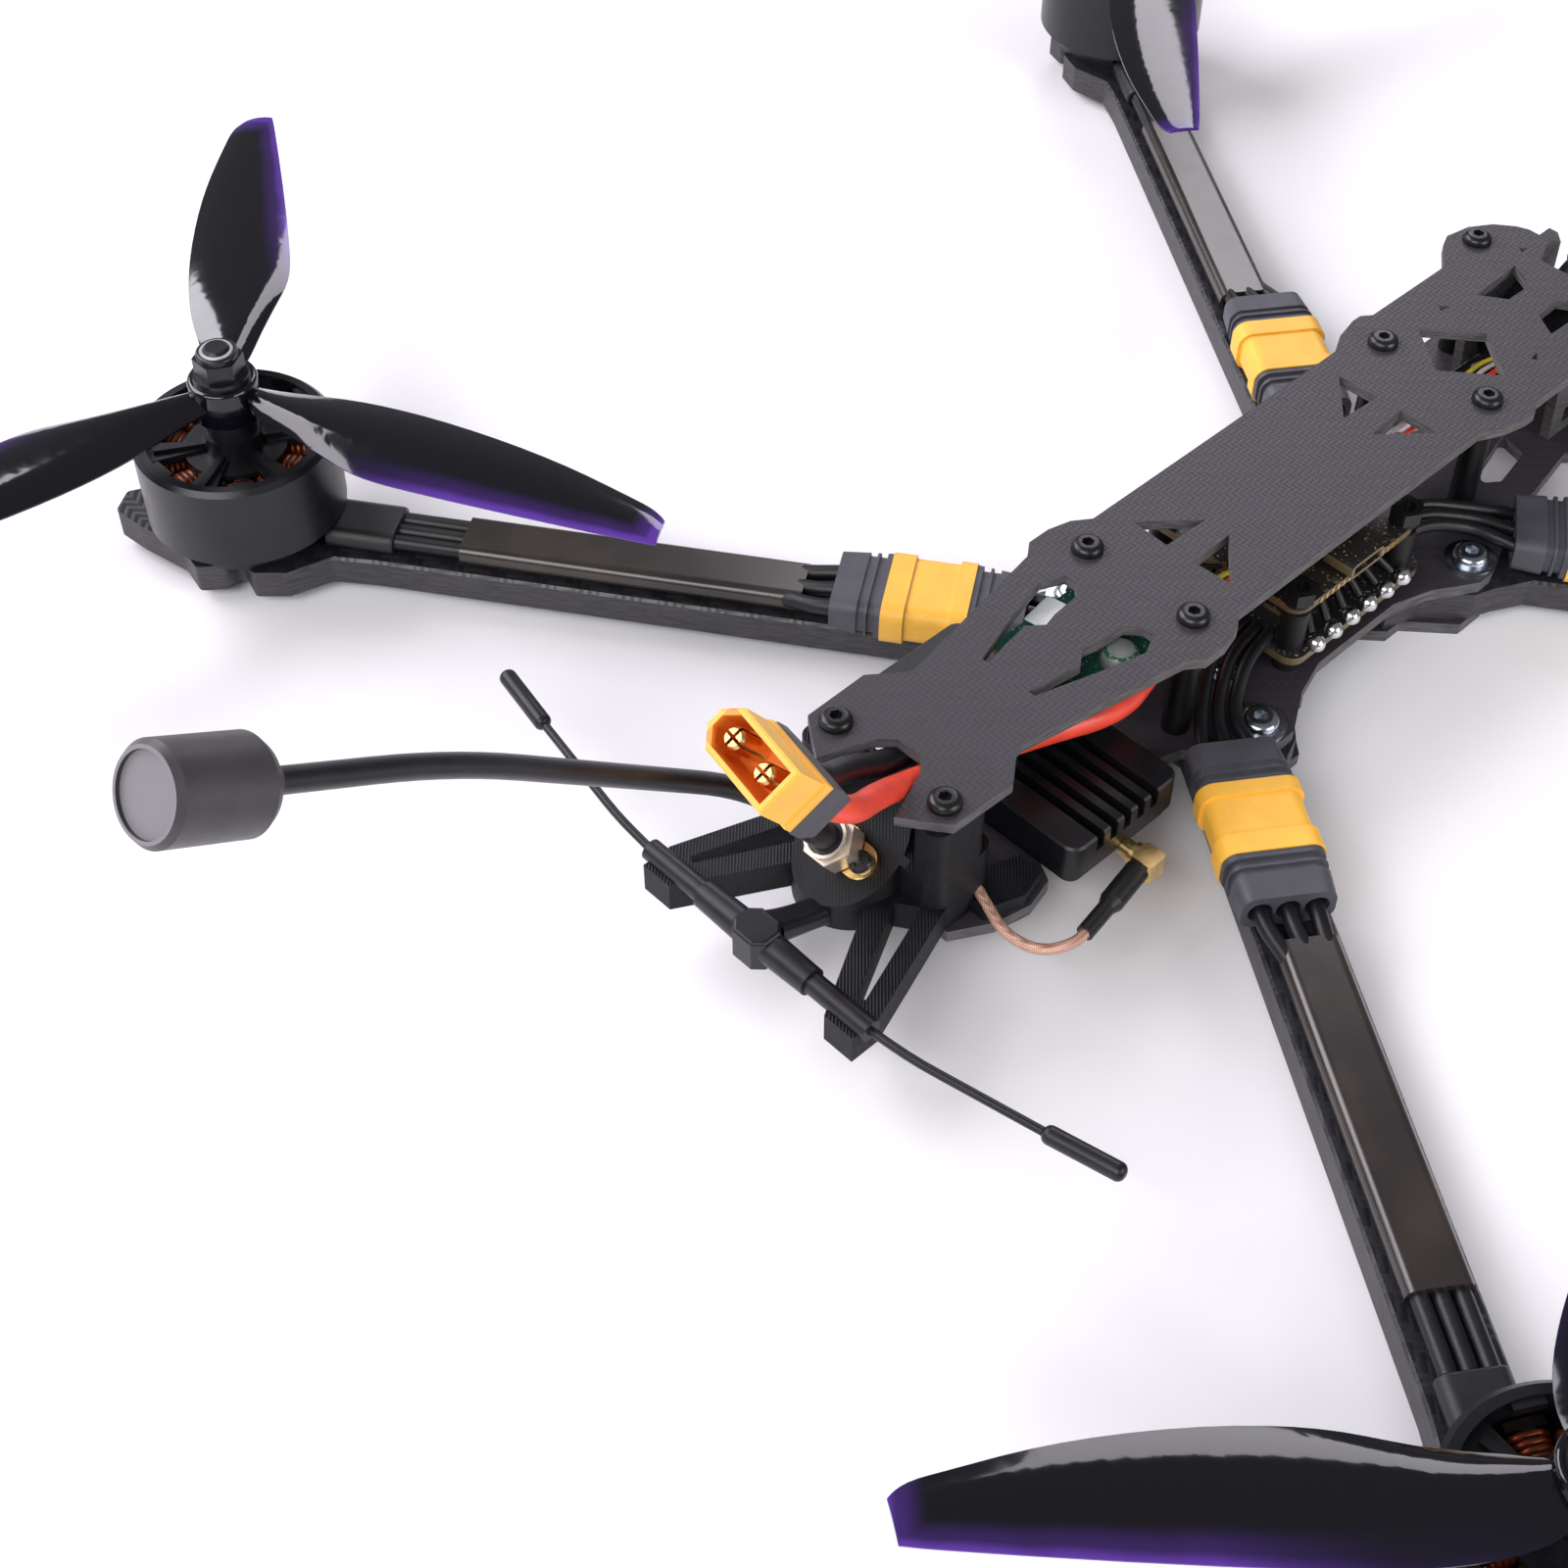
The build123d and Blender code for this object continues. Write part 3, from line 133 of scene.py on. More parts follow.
# ---------------------------------------------------------------- materials
class Look:
    """A Principled material, with nodes added by the methods below."""

    def __init__(self, name, colour, rough, metal=0.0, **sockets):
        self.mat = bpy.data.materials.new(name)
        self.mat.use_nodes = True
        self.tree = self.mat.node_tree
        self.bsdf = self.tree.nodes["Principled BSDF"]
        self.set("Base Color", (*colour, 1))
        self.set("Roughness", rough)
        self.set("Metallic", metal)
        for socket, value in sockets.items():
            self.set(socket.replace("_", " "), value)

    def set(self, socket, value):
        self.bsdf.inputs[socket].default_value = value

    def node(self, kind, **fields):
        made = self.tree.nodes.new("ShaderNode" + kind)
        for key, value in fields.items():
            setattr(made, key, value)
        return made

    def plug(self, value, socket):
        if hasattr(value, "is_linked"):
            self.tree.links.new(value, socket)
        else:
            socket.default_value = value

    def coords(self, scale=1.0, spin=(0, 0, 0), shift=(0, 0, 0)):
        """Object coordinates, in metres, mapped."""
        source = self.node("TexCoord")
        mapping = self.node("Mapping")
        self.plug(source.outputs["Object"], mapping.inputs["Vector"])
        mapping.inputs["Scale"].default_value = scale if hasattr(scale, "__len__") else (scale,) * 3
        mapping.inputs["Rotation"].default_value = spin
        mapping.inputs["Location"].default_value = shift
        return mapping.outputs["Vector"]

    def split(self, vector):
        made = self.node("SeparateXYZ")
        self.plug(vector, made.inputs[0])
        return made.outputs["X"], made.outputs["Y"], made.outputs["Z"]

    def maths(self, how, a, b=0.0, c=0.0, clamp=False):
        made = self.node("Math", operation=how, use_clamp=clamp)
        for value, socket in zip((a, b, c), made.inputs):
            self.plug(value, socket)
        return made.outputs[0]

    def noise(self, scale, detail=4.0, rough=0.55, vector=None):
        made = self.node("TexNoise")
        self.plug(vector or self.coords(), made.inputs["Vector"])
        made.inputs["Scale"].default_value = scale
        made.inputs["Detail"].default_value = detail
        made.inputs["Roughness"].default_value = rough
        return made.outputs["Fac"]

    def voronoi(self, scale, vector=None, feature="F1"):
        made = self.node("TexVoronoi", feature=feature)
        self.plug(vector or self.coords(), made.inputs["Vector"])
        made.inputs["Scale"].default_value = scale
        return made.outputs["Distance"]

    def ramp(self, value, *stops, smooth=True):
        """Grey or coloured steps: (place, level) or (place, (r, g, b))."""
        made = self.node("ValToRGB")
        made.color_ramp.interpolation = "EASE" if smooth else "CONSTANT"
        while len(made.color_ramp.elements) < len(stops):
            made.color_ramp.elements.new(0.5)
        for element, (place, level) in zip(made.color_ramp.elements, stops):
            element.position = place
            element.color = (*level, 1) if hasattr(level, "__len__") else (level, level, level, 1)
        self.plug(value, made.inputs["Fac"])
        return made.outputs["Color"]

    def mix(self, amount, a, b):
        made = self.node("Mix", data_type="RGBA")
        self.plug(amount, made.inputs["Factor"])
        for value, socket in ((a, made.inputs[6]), (b, made.inputs[7])):
            self.plug((*value, 1) if isinstance(value, tuple) else value, socket)
        return made.outputs[2]

    def up(self):
        """1 on faces that look up or down, 0 on upright ones."""
        normal = self.node("NewGeometry").outputs["Normal"]
        tall = self.maths("ABSOLUTE", self.split(normal)[2])
        return self.maths("GREATER_THAN", tall, 0.6)

    def paint(self, colour):
        self.plug(colour, self.bsdf.inputs["Base Color"])
        return self

    def gloss(self, value, low, high):
        made = self.node("MapRange")
        self.plug(value, made.inputs["Value"])
        made.inputs["To Min"].default_value = low
        made.inputs["To Max"].default_value = high
        self.plug(made.outputs["Result"], self.bsdf.inputs["Roughness"])
        return self

    def bump(self, height, distance, strength=1.0):
        """Relief of height times distance, in metres."""
        made = self.node("Bump")
        made.inputs["Strength"].default_value = strength
        made.inputs["Distance"].default_value = distance
        self.plug(height, made.inputs["Height"])
        before = self.bsdf.inputs["Normal"]
        if before.is_linked:
            self.plug(before.links[0].from_socket, made.inputs["Normal"])
        self.plug(made.outputs["Normal"], before)
        return self


def shade(colour, factor):
    return tuple(c * factor for c in colour)


def worn(name, colour, rough, metal=0.0, grain=9000, depth=0.00002, spread=0.25, **sockets):
    """Moulded or coated surface: soft blotches, fine grain and uneven gloss."""
    look = Look(name, colour, rough, metal, **sockets)
    blotch = look.noise(180, 5)
    fine = look.noise(grain, 3)
    look.paint(look.mix(look.ramp(blotch, (0.3, 0.0), (0.7, 1.0)), shade(colour, 1 - spread),
                        shade(colour, 1 + spread)))
    look.gloss(look.noise(420, 5), rough * 0.8, min(1.0, rough * 1.25))
    look.bump(fine, depth)
    return look


def twill(name, dark, light, pitch, rough, turn, edge, relief):
    """Two-by-two twill carbon sheet; cut edges show the stacked plies."""
    look = Look(name, dark, rough, Specular_IOR_Level=0.5)
    x, y, _ = look.split(look.coords(1 / pitch, (0, 0, turn)))
    step = look.maths("SUBTRACT", look.maths("FLOOR", x), look.maths("FLOOR", y))
    over = look.maths("LESS_THAN", look.maths("FLOORED_MODULO", step, 4.0), 2.0)
    across = look.maths("SINE", look.maths("MULTIPLY", look.maths("FRACT", x), pi))
    along = look.maths("SINE", look.maths("MULTIPLY", look.maths("FRACT", y), pi))
    tow = look.maths("ADD", look.maths("MULTIPLY", over, across),
                     look.maths("MULTIPLY", look.maths("SUBTRACT", 1.0, over), along))
    fibre_x = look.noise(1.0, 3, 0.6, look.coords((9000, 500, 900), (0, 0, turn)))
    fibre_y = look.noise(1.0, 3, 0.6, look.coords((500, 9000, 900), (0, 0, turn)))
    fibre = look.maths("ADD", look.maths("MULTIPLY", over, fibre_x),
                       look.maths("MULTIPLY", look.maths("SUBTRACT", 1.0, over), fibre_y))
    level = look.maths("MULTIPLY_ADD", over, 0.55, look.maths("MULTIPLY", fibre, 0.45))
    weave = look.mix(level, dark, light)
    weave = look.mix(look.ramp(look.noise(140, 4), (0.35, 0.0), (0.65, 0.35)), weave, shade(light, 1.08))
    plies = look.noise(1.0, 3, 0.6, look.coords((260, 260, 5200)))
    cut = look.mix(look.ramp(plies, (0.38, 0.0), (0.62, 1.0)), shade(edge, 0.55), shade(edge, 1.3))
    flat = look.up()
    look.paint(look.mix(flat, cut, weave))
    look.gloss(look.maths("MULTIPLY", flat, tow), rough + 0.14, rough - 0.05)
    look.bump(look.maths("MULTIPLY", flat, tow), relief)
    look.bump(plies, 0.00003, 0.6)
    return look


def printed():
    """Flexible 3D-printed part: layers up the walls, crossing strokes on top."""
    colour = (0.004, 0.004, 0.006)
    look = Look("printed_tpu", colour, 0.45, Specular_IOR_Level=0.28)
    x, y, z = look.split(look.coords())
    layer = look.maths("SINE", look.maths("MULTIPLY", z, 2 * pi / 0.00028))
    stroke = look.maths("SINE", look.maths("MULTIPLY", look.maths("ADD", x, y), 2 * pi / 0.00075))
    flat = look.up()
    relief = look.maths("ADD", look.maths("MULTIPLY", flat, stroke),
                        look.maths("MULTIPLY", look.maths("SUBTRACT", 1.0, flat), layer))
    look.paint(look.mix(look.ramp(look.noise(260, 5), (0.3, 0.0), (0.7, 1.0)), shade(colour, 0.7),
                        shade(colour, 1.5)))
    look.gloss(look.noise(900, 4), 0.38, 0.62)
    look.bump(relief, 0.00005, 0.7)
    return look


def blade_look(node, hub, spin, first):
    """Smoked polycarbonate that turns violet where the blade is thin: trailing edge and tip."""
    dark, violet = (0.004, 0.0035, 0.006), (0.085, 0.03, 0.26)
    look = Look("blade_" + node, dark, 0.08, Coat_Weight=0.25, Coat_Roughness=0.04, IOR=1.45)
    x, y, _ = look.split(look.coords(1000, (0, 0, 0), (-hub.x * 1000, -hub.y * 1000, 0)))
    turn = look.maths("SUBTRACT", look.maths("ARCTAN2", y, x), radians(first))
    wrapped = look.maths("FLOORED_MODULO", look.maths("ADD", turn, pi / 3), 2 * pi / 3)
    third = look.maths("SUBTRACT", wrapped, pi / 3)
    square = look.maths("ADD", look.maths("MULTIPLY", x, x), look.maths("MULTIPLY", y, y))
    radius = look.maths("SQRT", square)
    side = look.maths("MULTIPLY", look.maths("MULTIPLY", radius, look.maths("SINE", third)), -spin)
    reach = look.maths("DIVIDE", radius, TIP_RADIUS)
    unit = 20.0
    half = look.ramp(reach, (0.05, 0.2), (0.18, 0.54), (0.29, 0.62), (0.43, 0.59), (0.61, 0.525),
                     (0.79, 0.455), (0.93, 0.395), (1.0, 0.357))
    share = look.maths("DIVIDE", look.maths("DIVIDE", side, unit), half)
    rear = look.ramp(share, (0.5, 0.0), (0.8, 0.25), (0.98, 1.0))
    tip = look.ramp(reach, (0.94, 0.0), (0.985, 0.4), (1.0, 1.0))
    outer = look.ramp(reach, (0.1, 0.0), (0.3, 0.1), (0.6, 1.0))
    thin = look.maths("MAXIMUM", look.maths("MULTIPLY", rear, outer), tip)
    cloud = look.maths("MULTIPLY_ADD", look.noise(160, 4), 0.5, 0.75)
    thin = look.maths("MULTIPLY", thin, cloud, clamp=True)
    look.paint(look.mix(thin, dark, violet))
    look.gloss(look.noise(300, 4), 0.05, 0.12)
    look.bump(look.noise(60, 3), 0.0004, 0.12)
    return look


def braid():
    """Woven copper shield, seen as small crossing strands."""
    look = Look("coax_braid", (0.70, 0.46, 0.38), 0.4, 0.5)
    x, y, z = look.split(look.coords())
    run = look.maths("ADD", x, y)
    strands = []
    for slant in (1.2, -1.2):
        phase = look.maths("MULTIPLY", look.maths("MULTIPLY_ADD", z, slant, run), 2 * pi / 0.0008)
        strands.append(look.maths("SINE", phase))
    cross = look.maths("MULTIPLY", *strands)
    level = look.maths("MULTIPLY_ADD", cross, 0.5, 0.5)
    look.paint(look.mix(level, (0.42, 0.18, 0.13), (0.95, 0.62, 0.50)))
    look.gloss(look.noise(2500, 3), 0.3, 0.5)
    look.bump(level, 0.00012, 0.8)
    return look


def turned(name, colour, rough, streak=(9000, 9000, 300), metal=1.0, depth=0.00001):
    """Bare metal with fine tool marks."""
    look = Look(name, colour, rough, metal)
    marks = look.noise(1.0, 3, 0.6, look.coords(streak))
    stain = look.ramp(look.noise(700, 4), (0.35, 0.0), (0.65, 1.0))
    look.paint(look.mix(stain, shade(colour, 0.82), colour))
    look.gloss(marks, rough * 0.75, rough * 1.35)
    look.bump(marks, depth, 0.7)
    return look


def solder_mask(name, colour, trace):
    """Board lacquer over tracks, with small bright pads."""
    look = Look(name, colour, 0.32, Specular_IOR_Level=0.5)
    tracks = look.node("TexBrick")
    look.plug(look.coords(1000), tracks.inputs["Vector"])
    tracks.inputs["Scale"].default_value = 0.9
    tracks.inputs["Mortar Size"].default_value = 0.09
    pads = look.ramp(look.voronoi(1100), (0.16, 1.0), (0.2, 0.0))
    flat = look.up()
    base = look.mix(look.maths("MULTIPLY", tracks.outputs["Fac"], 0.8), colour, trace)
    base = look.mix(look.maths("MULTIPLY", pads, look.maths("MULTIPLY", flat, 0.7)), base, (0.6, 0.5, 0.3))
    glassy = look.noise(1.0, 3, 0.5, look.coords((300, 300, 6000)))
    look.paint(look.mix(flat, look.mix(glassy, (0.07, 0.045, 0.02), (0.22, 0.16, 0.08)), base))
    look.bump(tracks.outputs["Fac"], 0.00004, 0.6)
    return look


def plug_look():
    """Yellow nylon; within the socket's opening the colour is painted deep orange, a painted shade standing
    in for the dim, bounced light in the recess.
    """
    look = worn("plug_nylon", (0.95, 0.50, 0.065), 0.36, spread=0.05, depth=0.00003)
    place = look.node("NewGeometry").outputs["Position"]
    back = look.node("VectorMath", operation="SUBTRACT")
    look.plug(place, back.inputs[0])
    back.inputs[1].default_value = PLUG_BACK * MM
    # Mask of the socket's opening, where the painted shade goes.
    socket_shade_mask = 1.0
    for axis, half in zip((PLUG_LONG, PLUG_AXIS.cross(PLUG_LONG)), SOCKET_HALVES):
        reach = look.node("VectorMath", operation="DOT_PRODUCT")
        look.plug(back.outputs[0], reach.inputs[0])
        reach.inputs[1].default_value = axis
        near = look.maths("LESS_THAN", look.maths("ABSOLUTE", reach.outputs["Value"]), half * MM)
        socket_shade_mask = look.maths("MULTIPLY", socket_shade_mask, near)
    yellow = look.bsdf.inputs["Base Color"].links[0].from_socket
    # Painted shade: the socket's recess is coloured deep orange for the dim, bounced light in it.
    look.paint(look.mix(socket_shade_mask, yellow, (1.0, 0.28, 0.03)))
    return look


def head_look():
    """Satin plastic housing; the end face, which looks along the head's axis, is painted paler as a painted
    sheen for the light it catches.
    """
    look = worn("antenna_satin", (0.040, 0.037, 0.041), 0.42, spread=0.15)
    sheen_facing = look.node("VectorMath", operation="DOT_PRODUCT")
    look.plug(look.node("NewGeometry").outputs["Normal"], sheen_facing.inputs[0])
    sheen_facing.inputs[1].default_value = Vector((0, 25, 15.2)).normalized()
    # Painted sheen: faces that look along the head's axis get a paler colour, standing in for reflected
    # light.
    end = look.ramp(sheen_facing.outputs["Value"], (0.9, 0.0), (0.97, 1.0))
    body = look.bsdf.inputs["Base Color"].links[0].from_socket
    look.paint(look.mix(end, body, (0.20, 0.19, 0.205)))
    return look


def sleeve_look():
    """Heat-shrunk film, smoky brown where the light comes through."""
    look = Look("smoky_shrink", (0.03, 0.022, 0.019), 0.3, Specular_IOR_Level=0.5, Coat_Weight=0.3,
                Coat_Roughness=0.22)
    cloud = look.noise(1.0, 2, 0.4, look.coords((70, 70, 70)))
    level = look.ramp(cloud, (0.35, 0.0), (0.7, 1.0))
    look.paint(look.mix(level, (0.021, 0.016, 0.015), (0.036, 0.027, 0.022)))
    look.gloss(look.noise(240, 3), 0.2, 0.28)
    look.bump(cloud, 0.00004, 0.2)
    return look


def paper():
    look = Look("studio_floor", (0.9, 0.885, 0.915), 0.8, Specular_IOR_Level=0.1)
    look.paint(look.mix(look.noise(1.5, 3), (0.89, 0.875, 0.905), (0.92, 0.905, 0.93)))
    look.bump(look.noise(400, 3), 0.00005, 0.2)
    return look


# ---------------------------------------------------------------- mesh helpers
def finished(name, bm, look, smooth=35):
    mesh = bpy.data.meshes.new(name)
    bmesh.ops.recalc_face_normals(bm, faces=bm.faces)
    bm.to_mesh(mesh)
    bm.free()
    obj = bpy.data.objects.new(name, mesh)
    bpy.context.scene.collection.objects.link(obj)
    mesh.materials.append(look.mat)
    mesh.shade_smooth()
    mesh.set_sharp_from_angle(angle=radians(smooth))
    return obj


def piece(name, bm, look, body="frame", smooth=35):
    obj = finished(name, bm, look, smooth)
    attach(obj, body)
    return obj


def block(bm, centre, size, turn=0.0, soft=0.0, tilt=None):
    """A box in mm with rounded edges, turned about Z."""
    place = Matrix.Translation(Vector(centre) * MM) @ (tilt or Matrix.Rotation(turn, 4, "Z"))
    made = bmesh.ops.create_cube(bm, size=1, matrix=place @ Matrix.Diagonal((*[s * MM for s in size], 1)))
    if soft:
        edges = list({e for v in made["verts"] for e in v.link_edges})
        bmesh.ops.bevel(bm, geom=edges, offset=soft * MM, segments=2, affect="EDGES")


def lathe(bm, rings, place, steps=40):
    """Revolves (radius, height) in mm about the local Z of place."""
    loops = []
    turns = [2 * pi * k / steps for k in range(steps)]
    for r, h in rings:
        loops.append([bm.verts.new(place @ Vector((r * cos(a), r * sin(a), h))) for a in turns])
    for low, high in zip(loops, loops[1:]):
        for k in range(steps):
            bm.faces.new((low[k], low[(k + 1) % steps], high[(k + 1) % steps], high[k]))
    bm.faces.new(loops[0][::-1])
    bm.faces.new(loops[-1])


def spline(name, points, diameter, look, body="frame"):
    """A round tube whose line is a smooth NURBS spline with these points, in mm."""
    data = bpy.data.curves.new(name, "CURVE")
    data.dimensions = "3D"
    data.bevel_depth = diameter / 2 * MM
    data.bevel_resolution = 5
    data.use_fill_caps = True
    line = data.splines.new("NURBS")
    line.points.add(len(points) - 1)
    for spot, p in zip(line.points, points):
        spot.co = (*[c * MM for c in p], 1)
    line.order_u = 3
    line.use_endpoint_u = True
    line.resolution_u = 14
    data.materials.append(look.mat)
    obj = bpy.data.objects.new(name, data)
    bpy.context.scene.collection.objects.link(obj)
    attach(obj, body)
    return obj


def dress(look, *names):
    """Gives CAD nodes their material."""
    for name in names:
        mesh = NODES[name].data
        mesh.materials.clear()
        mesh.materials.append(look.mat)


# ---------------------------------------------------------------- looks of the CAD nodes
BLACK = (0.007, 0.007, 0.009)
PLATE = twill("carbon_plate", (0.029, 0.0245, 0.031), (0.036, 0.031, 0.039), 0.00095, 0.5, 0.0,
              (0.10, 0.095, 0.10), 0.00002)
ARM = twill("carbon_arm", (0.006, 0.006, 0.008), (0.022, 0.021, 0.026), 0.0016, 0.36, radians(45),
            (0.045, 0.042, 0.048), 0.00006)
SCREW = worn("black_oxide", (0.035, 0.034, 0.036), 0.26, 0.75, spread=0.2)
BOLT = turned("bright_steel", (0.50, 0.54, 0.60), 0.22)
POST = worn("anodised_post", BLACK, 0.4, 0.4)
PLASTIC = worn("satin_black", (0.009, 0.009, 0.012), 0.34, Specular_IOR_Level=0.4)
RUBBER = worn("soft_rubber", (0.007, 0.007, 0.008), 0.5, Specular_IOR_Level=0.35)
SILICONE = worn("black_silicone", (0.006, 0.006, 0.008), 0.34, depth=0.00003, Specular_IOR_Level=0.4)
RED = worn("red_silicone", (0.92, 0.075, 0.04), 0.34, spread=0.1)
YELLOW = worn("yellow_nylon", (0.93, 0.49, 0.055), 0.42, spread=0.05, depth=0.00003)
PLUG = plug_look()
GREY = worn("grey_nylon", (0.062, 0.062, 0.076), 0.48, spread=0.12, depth=0.00003)
MOTOR_LOOK = worn("motor_anodised", (0.008, 0.008, 0.011), 0.3, 0.2, spread=0.15)
GOLD = turned("gold_plate", (0.86, 0.60, 0.26), 0.22)
NICKEL = turned("nickel_plate", (0.62, 0.53, 0.44), 0.4, metal=0.7)
SOLDER = turned("bright_solder", (0.78, 0.78, 0.80), 0.18, (1500, 1500, 1500), depth=0.00008)
LAMINATE = turned("stator_laminate", (0.05, 0.042, 0.04), 0.45, (200, 200, 9000))
COPPER = worn("enamelled_copper", (0.20, 0.04, 0.012), 0.32, 0.6, spread=0.3)
HEATSINK = worn("heatsink_anodised", (0.005, 0.005, 0.007), 0.38, 0.1)
SHRINK = worn("black_shrink", (0.007, 0.007, 0.009), 0.34, depth=0.00005)
SLEEVE = sleeve_look()
TPU = printed()
BRAID = braid()
LOWER = solder_mask("lower_board", (0.008, 0.008, 0.010), (0.022, 0.022, 0.026))
UPPER = solder_mask("upper_board", (0.010, 0.009, 0.009), (0.03, 0.026, 0.022))
GREEN = solder_mask("green_board", (0.006, 0.055, 0.035), (0.012, 0.10, 0.06))
WHITE = worn("white_wrap", (0.80, 0.83, 0.84), 0.4, spread=0.04)
YELLOW_WIRE = worn("yellow_wire", (0.78, 0.62, 0.05), 0.45, spread=0.08)
WHITE_WIRE = worn("white_wire", (0.75, 0.74, 0.72), 0.45, spread=0.06)
LENS = worn("lens_barrel", (0.008, 0.008, 0.009), 0.3)

dress(PLATE, "top_plate", "main_plate", "bottom_plate", "camera_plates")
dress(ARM, "arm_rear_left", "arm_rear_right", "arm_front_left", "arm_front_right")
dress(POST, "standoffs")
dress(SCREW, "top_screws", "base_screws", "stack_screws", "stack_nuts", "motor_screws")
dress(BOLT, "clamp_bolts", "clamp_washers", "clamp_nuts")
dress(LOWER, "esc_board")
dress(UPPER, "fc_board")
dress(SOLDER, "solder_joints")
dress(RUBBER, "stack_grommets")
dress(GREEN, "receiver_board")
dress(HEATSINK, "vtx_case", "vtx_heatsink")
dress(GOLD, "mmcx_plug", "sma_flange", "xt60_pins")
dress(SHRINK, "coax_sleeve", "motor_shrinks")
dress(BRAID, "coax_pigtail")
dress(TPU, "tail_mount")
dress(NICKEL, "sma_nut")
dress(head_look(), "antenna_head")
dress(PLASTIC, "antenna_stalk", "diversity_antenna", "whiskers", "camera_body")
dress(PLUG, "xt60_shell")
dress(GREY, "xt60_cap", "connector_caps")
dress(YELLOW, "connector_shells")
dress(SILICONE, "motor_wires")
dress(SLEEVE, "wire_sleeves")
dress(MOTOR_LOOK, "motor_bases", *["motor_bell_" + n for n in CORNERS])
dress(LAMINATE, "motor_stators")
dress(SCREW, *["prop_nut_" + n for n in CORNERS])
dress(LENS, "camera_lens")
for n in CORNERS:
    dress(blade_look(n, MOTOR[n], SPIN[n], BLADE_ANGLE[n]), "propeller_" + n)


# ---------------------------------------------------------------- battery leads
def battery_leads():
    """The two silicone leads from the lower board, through the tail's notch, to the plug."""
    for name, points, side, look, pieces in (("red", RED_POINTS, 1, RED, ("xt60_shell", "xt60_cap")),
                                             ("black", BLACK_POINTS, -1, SILICONE, ("xt60_pins",))):
        end = PLUG_BACK + PLUG_LONG * side * PIN_OFFSET
        route = points + [tuple(end - PLUG_AXIS * 11), tuple(end)]
        lead = spline("lead_" + name, route, LEAD_DIAMETER, look)
        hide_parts("battery_lead_" + name)


# ---------------------------------------------------------------- details
def windings():
    """Copper coils round the twelve teeth of each stator."""
    low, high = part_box("motor_stators")
    z0, z1 = low.z / MM + 0.4, high.z / MM - 0.4
    bm = bmesh.new()
    for n in CORNERS:
        for k in range(STATOR_TEETH):
            turn = Matrix.Rotation(2 * pi * k / STATOR_TEETH, 4, "Z")
            place = Matrix.Translation((MOTOR[n].x, MOTOR[n].y, 0)) @ turn
            for layer in range(COIL_TURNS):
                x = COIL_START + layer * COIL_PITCH
                wide = 1.5 + 0.28 * layer
                ring = []
                for j in range(16):
                    a = 2 * pi * j / 16
                    y = wide * max(-1.0, min(1.0, 1.45 * cos(a)))
                    z = (z0 + z1) / 2 + ((z1 - z0) / 2 + 0.1) * max(-1.0, min(1.0, 1.25 * sin(a)))
                    ring.append(Vector((x, y, z)))
                hoop(bm, ring, COIL_WIRE_RADIUS, place)
    return piece("motor_windings", bm, COPPER, smooth=60)


def hoop(bm, ring, radius, place):
    """A closed wire through ring's points, in mm."""
    count, sides, loops = len(ring), 6, []
    for k in range(count):
        ahead = (ring[(k + 1) % count] - ring[k - 1]).normalized()
        out = Vector((1, 0, 0))
        across = ahead.cross(out).normalized()
        loops.append([bm.verts.new(place @ ((ring[k] + (out * cos(a) + across * sin(a)) * radius) * MM))
                      for a in [2 * pi * j / sides for j in range(sides)]])
    for k in range(count):
        here, there = loops[k], loops[(k + 1) % count]
        for j in range(sides):
            bm.faces.new((here[j], here[(j + 1) % sides], there[(j + 1) % sides], there[j]))


def board_parts():
    """Surface-mounted parts on the two stacked boards."""
    rng = random.Random(7)
    dark, pale = bmesh.new(), bmesh.new()
    for sx in (1, -1):
        for k in range(9):
            y = -12.5 + 3.1 * k
            block(dark, (sx * 12.6, y, LOWER_CHIP_Z), (1.8, 1.1, 0.7), 0, 0.12)
            block(pale, (sx * 11.1, y + 0.6, LOWER_PAD_Z), (0.9, 0.5, 0.45), 0, 0.08)
    for k in range(26):
        x, y = rng.uniform(-13, 13), rng.uniform(-10.5, 11)
        if abs(x) < 5 and abs(y) < 5:
            continue
        target = dark if k % 2 else pale
        size = (rng.choice((1.0, 1.6, 2.2)), rng.choice((0.6, 0.9)), 0.5)
        block(target, (x, y, UPPER_CHIP_Z), size, rng.choice((0, pi / 2)), 0.08)
    for k in range(7):
        for x in (-16.4, 16.4):
            block(pale, (x, -9.5 + 3.2 * k, UPPER_PAD_Z), (1.5, 1.2, 0.3), 0, 0.1)
    piece("board_chips", dark, worn("chip_epoxy", (0.012, 0.012, 0.013), 0.5))
    piece("board_pads", pale, turned("pad_metal", (0.66, 0.60, 0.48), 0.3))


def small_wires():
    """Signal wiring from the upper board to the receiver and camera."""
    spline("wire_signal_red", [(-3, 15, 24), (-4, 20, 27), (-6.4, 26, 30.5), (-5, 33, 31), (-3, 41, 31),
                               (-3.6, 47, 31.6)], 1.1, RED)
    spline("wire_signal_yellow", [(-1.6, 15, 24), (-2.6, 20, 27.2), (-5.0, 26.4, 31.2), (-3.6, 33, 31.6),
                                  (-1.8, 41, 31.2), (-2.2, 47, 31.8)], 1.0, YELLOW_WIRE)
    spline("wire_signal_black", [(0, 15, 24), (1, 21, 27), (2.4, 27, 30.4), (2, 35, 31), (0, 41, 31.2),
                                 (-0.8, 47, 31.8)], 1.0, SILICONE)
    for k, (look, slot) in enumerate(((RED, "red_silicone"), (WHITE_WIRE, "solder"),
                                      (YELLOW_WIRE, "yellow_plastic"), (SILICONE, "black_silicone"))):
        x = -2.4 + 1.5 * k
        spline(f"wire_camera_{k}", [(x, -15, 27.4), (x, -20, 29), (x * 1.3, -34, 30.5 + 0.4 * k),
                                    (x * 1.2 - 1, -52, 29.5), (x + 1, -63, 27.5), (x, -72.5, 24.5)],
               1.0, look)


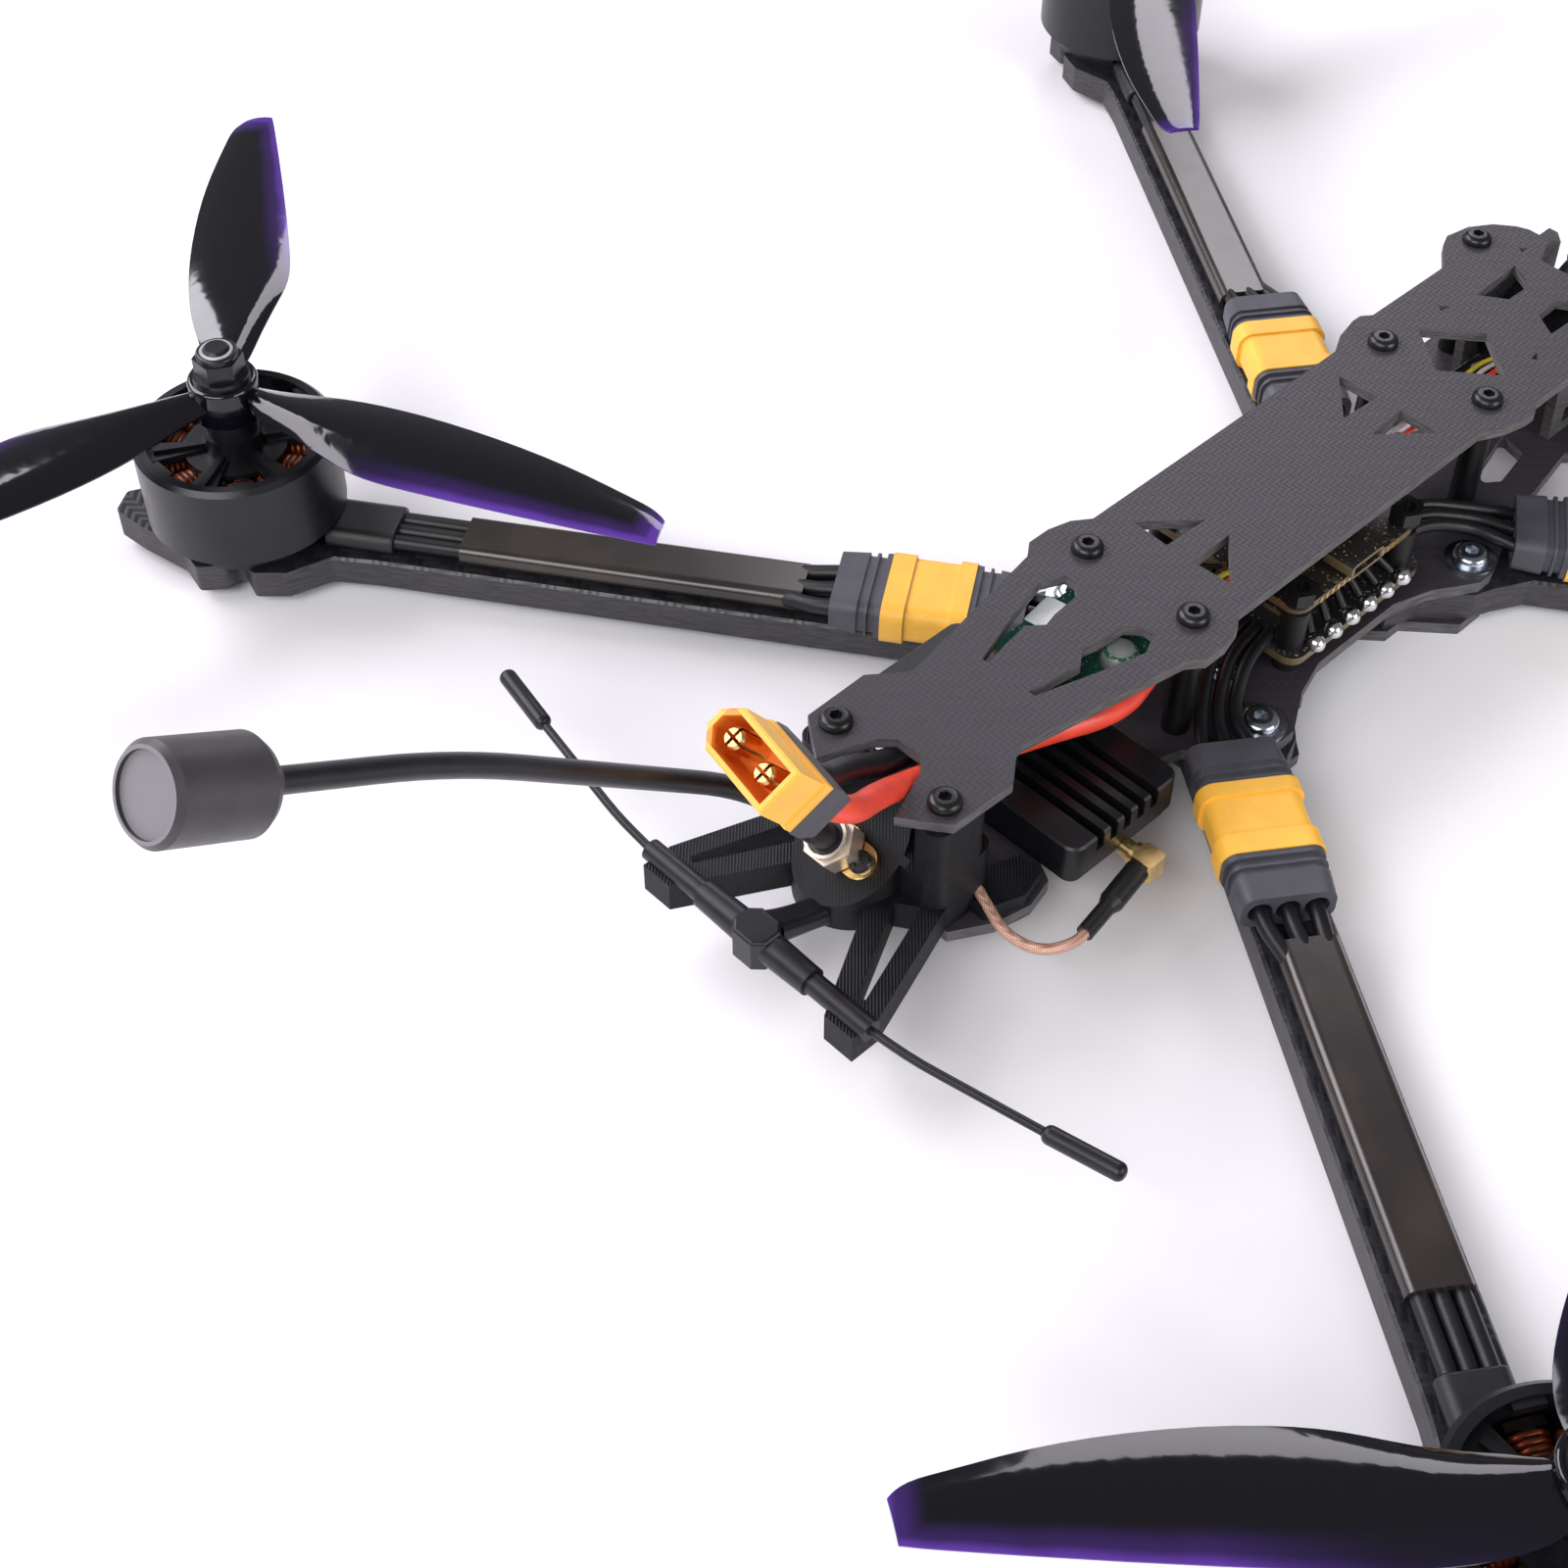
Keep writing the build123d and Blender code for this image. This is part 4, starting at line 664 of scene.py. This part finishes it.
def receiver():
    """White film label and a round button can on the receiver."""
    bm = bmesh.new()
    block(bm, (7.0, 54.8, 32.9), (7.6, 7.4, 0.5), radians(8), 0.2)
    piece("receiver_label", bm, WHITE)
    bm = bmesh.new()
    place = Matrix.Translation(Vector((-6.6, 53.5, 31.1)) * MM) @ Matrix.Scale(MM, 4)
    lathe(bm, [(3.3, 0), (3.32, 0.2), (3.32, 1.9), (3.0, 2.6), (2.2, 3.15), (0.05, 3.3)], place)
    piece("receiver_can", bm, worn("frosted_can", (0.16, 0.17, 0.17), 0.3, spread=0.2))


def board_edge():
    """Gold half-holes along the upper board's right and left edges."""
    bm = bmesh.new()
    for sx in (-1, 1):
        for k in range(15):
            block(bm, (sx * 17.2, -11.2 + 1.6 * k, 25.2), (0.5, 0.8, 1.5), 0, 0.12)
    piece("board_edge_pads", bm, GOLD)


def nut_rings():
    """Pale locking inserts in the tops of the propeller nuts."""
    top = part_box("prop_nut_rl")[1].z
    for n, body in (("rl", "rear_left"), ("rr", "rear_right"), ("fl", "front_left"), ("fr", "front_right")):
        bm = bmesh.new()
        place = Matrix.Translation((MOTOR[n].x, MOTOR[n].y, top - 0.1 * MM)) @ Matrix.Scale(MM, 4)
        lathe(bm, [(3.0, 0), (3.05, 0.1), (2.9, 0.28), (2.35, 0.3), (2.25, 0.1)], place)
        piece("nut_insert_" + n, bm, turned("insert_" + n, (0.42, 0.42, 0.45), 0.4, metal=0.3),
              "rotor_" + body)


def camera_glass():
    """The domed front glass in the lens barrel."""
    tilt = radians(CAMERA_TILT)
    out = Vector((0, -cos(tilt), sin(tilt)))
    centre = CAMERA_PIVOT + out * 20.2
    turn = out.to_track_quat("Z", "Y").to_matrix().to_4x4()
    place = Matrix.Translation(centre * MM) @ turn @ Matrix.Scale(MM, 4)
    bm = bmesh.new()
    rings = [(5.4, 0.0)] + [(5.4 * cos(a), 1.4 * sin(a)) for a in [pi / 2 * k / 6 for k in range(1, 6)]]
    rings.append((0.05, 1.4))
    lathe(bm, rings, place)
    glass = Look("lens_glass", (0.01, 0.01, 0.03), 0.03, Coat_Weight=1.0, Coat_Roughness=0.02, IOR=1.6)
    glass.paint(glass.mix(glass.ramp(glass.voronoi(90), (0.0, 0.0), (0.8, 1.0)), (0.004, 0.004, 0.012),
                          (0.03, 0.012, 0.05)))
    piece("lens_glass", bm, glass, "camera")


def flange_screws():
    """Two socket screws that hold the antenna jack to its sloping seat."""
    slope = radians(SEAT_SLOPE)
    axis = Vector((0, cos(slope), sin(slope)))
    turn = axis.to_track_quat("Z", "Y").to_matrix().to_4x4()
    rings = [(1.9, 0), (2.0, 0.15), (2.0, 1.3), (1.7, 1.6), (0.95, 1.62), (0.9, 0.7), (0.05, 0.6)]
    bm = bmesh.new()
    for sx in (1, -1):
        centre = SEAT + Vector((sx * 5, 0, 0)) + axis * 1.55
        place = Matrix.Translation(centre * MM) @ turn @ Matrix.Scale(MM, 4)
        lathe(bm, rings, place, 28)
    piece("flange_screws", bm, SCREW)


camera()
battery_leads()
studio()
windings()
board_parts()
small_wires()
receiver()
board_edge()
nut_rings()
camera_glass()
flange_screws()

for obj in NODES.values():
    obj.data.shade_smooth()
    obj.data.set_sharp_from_angle(angle=radians(30))
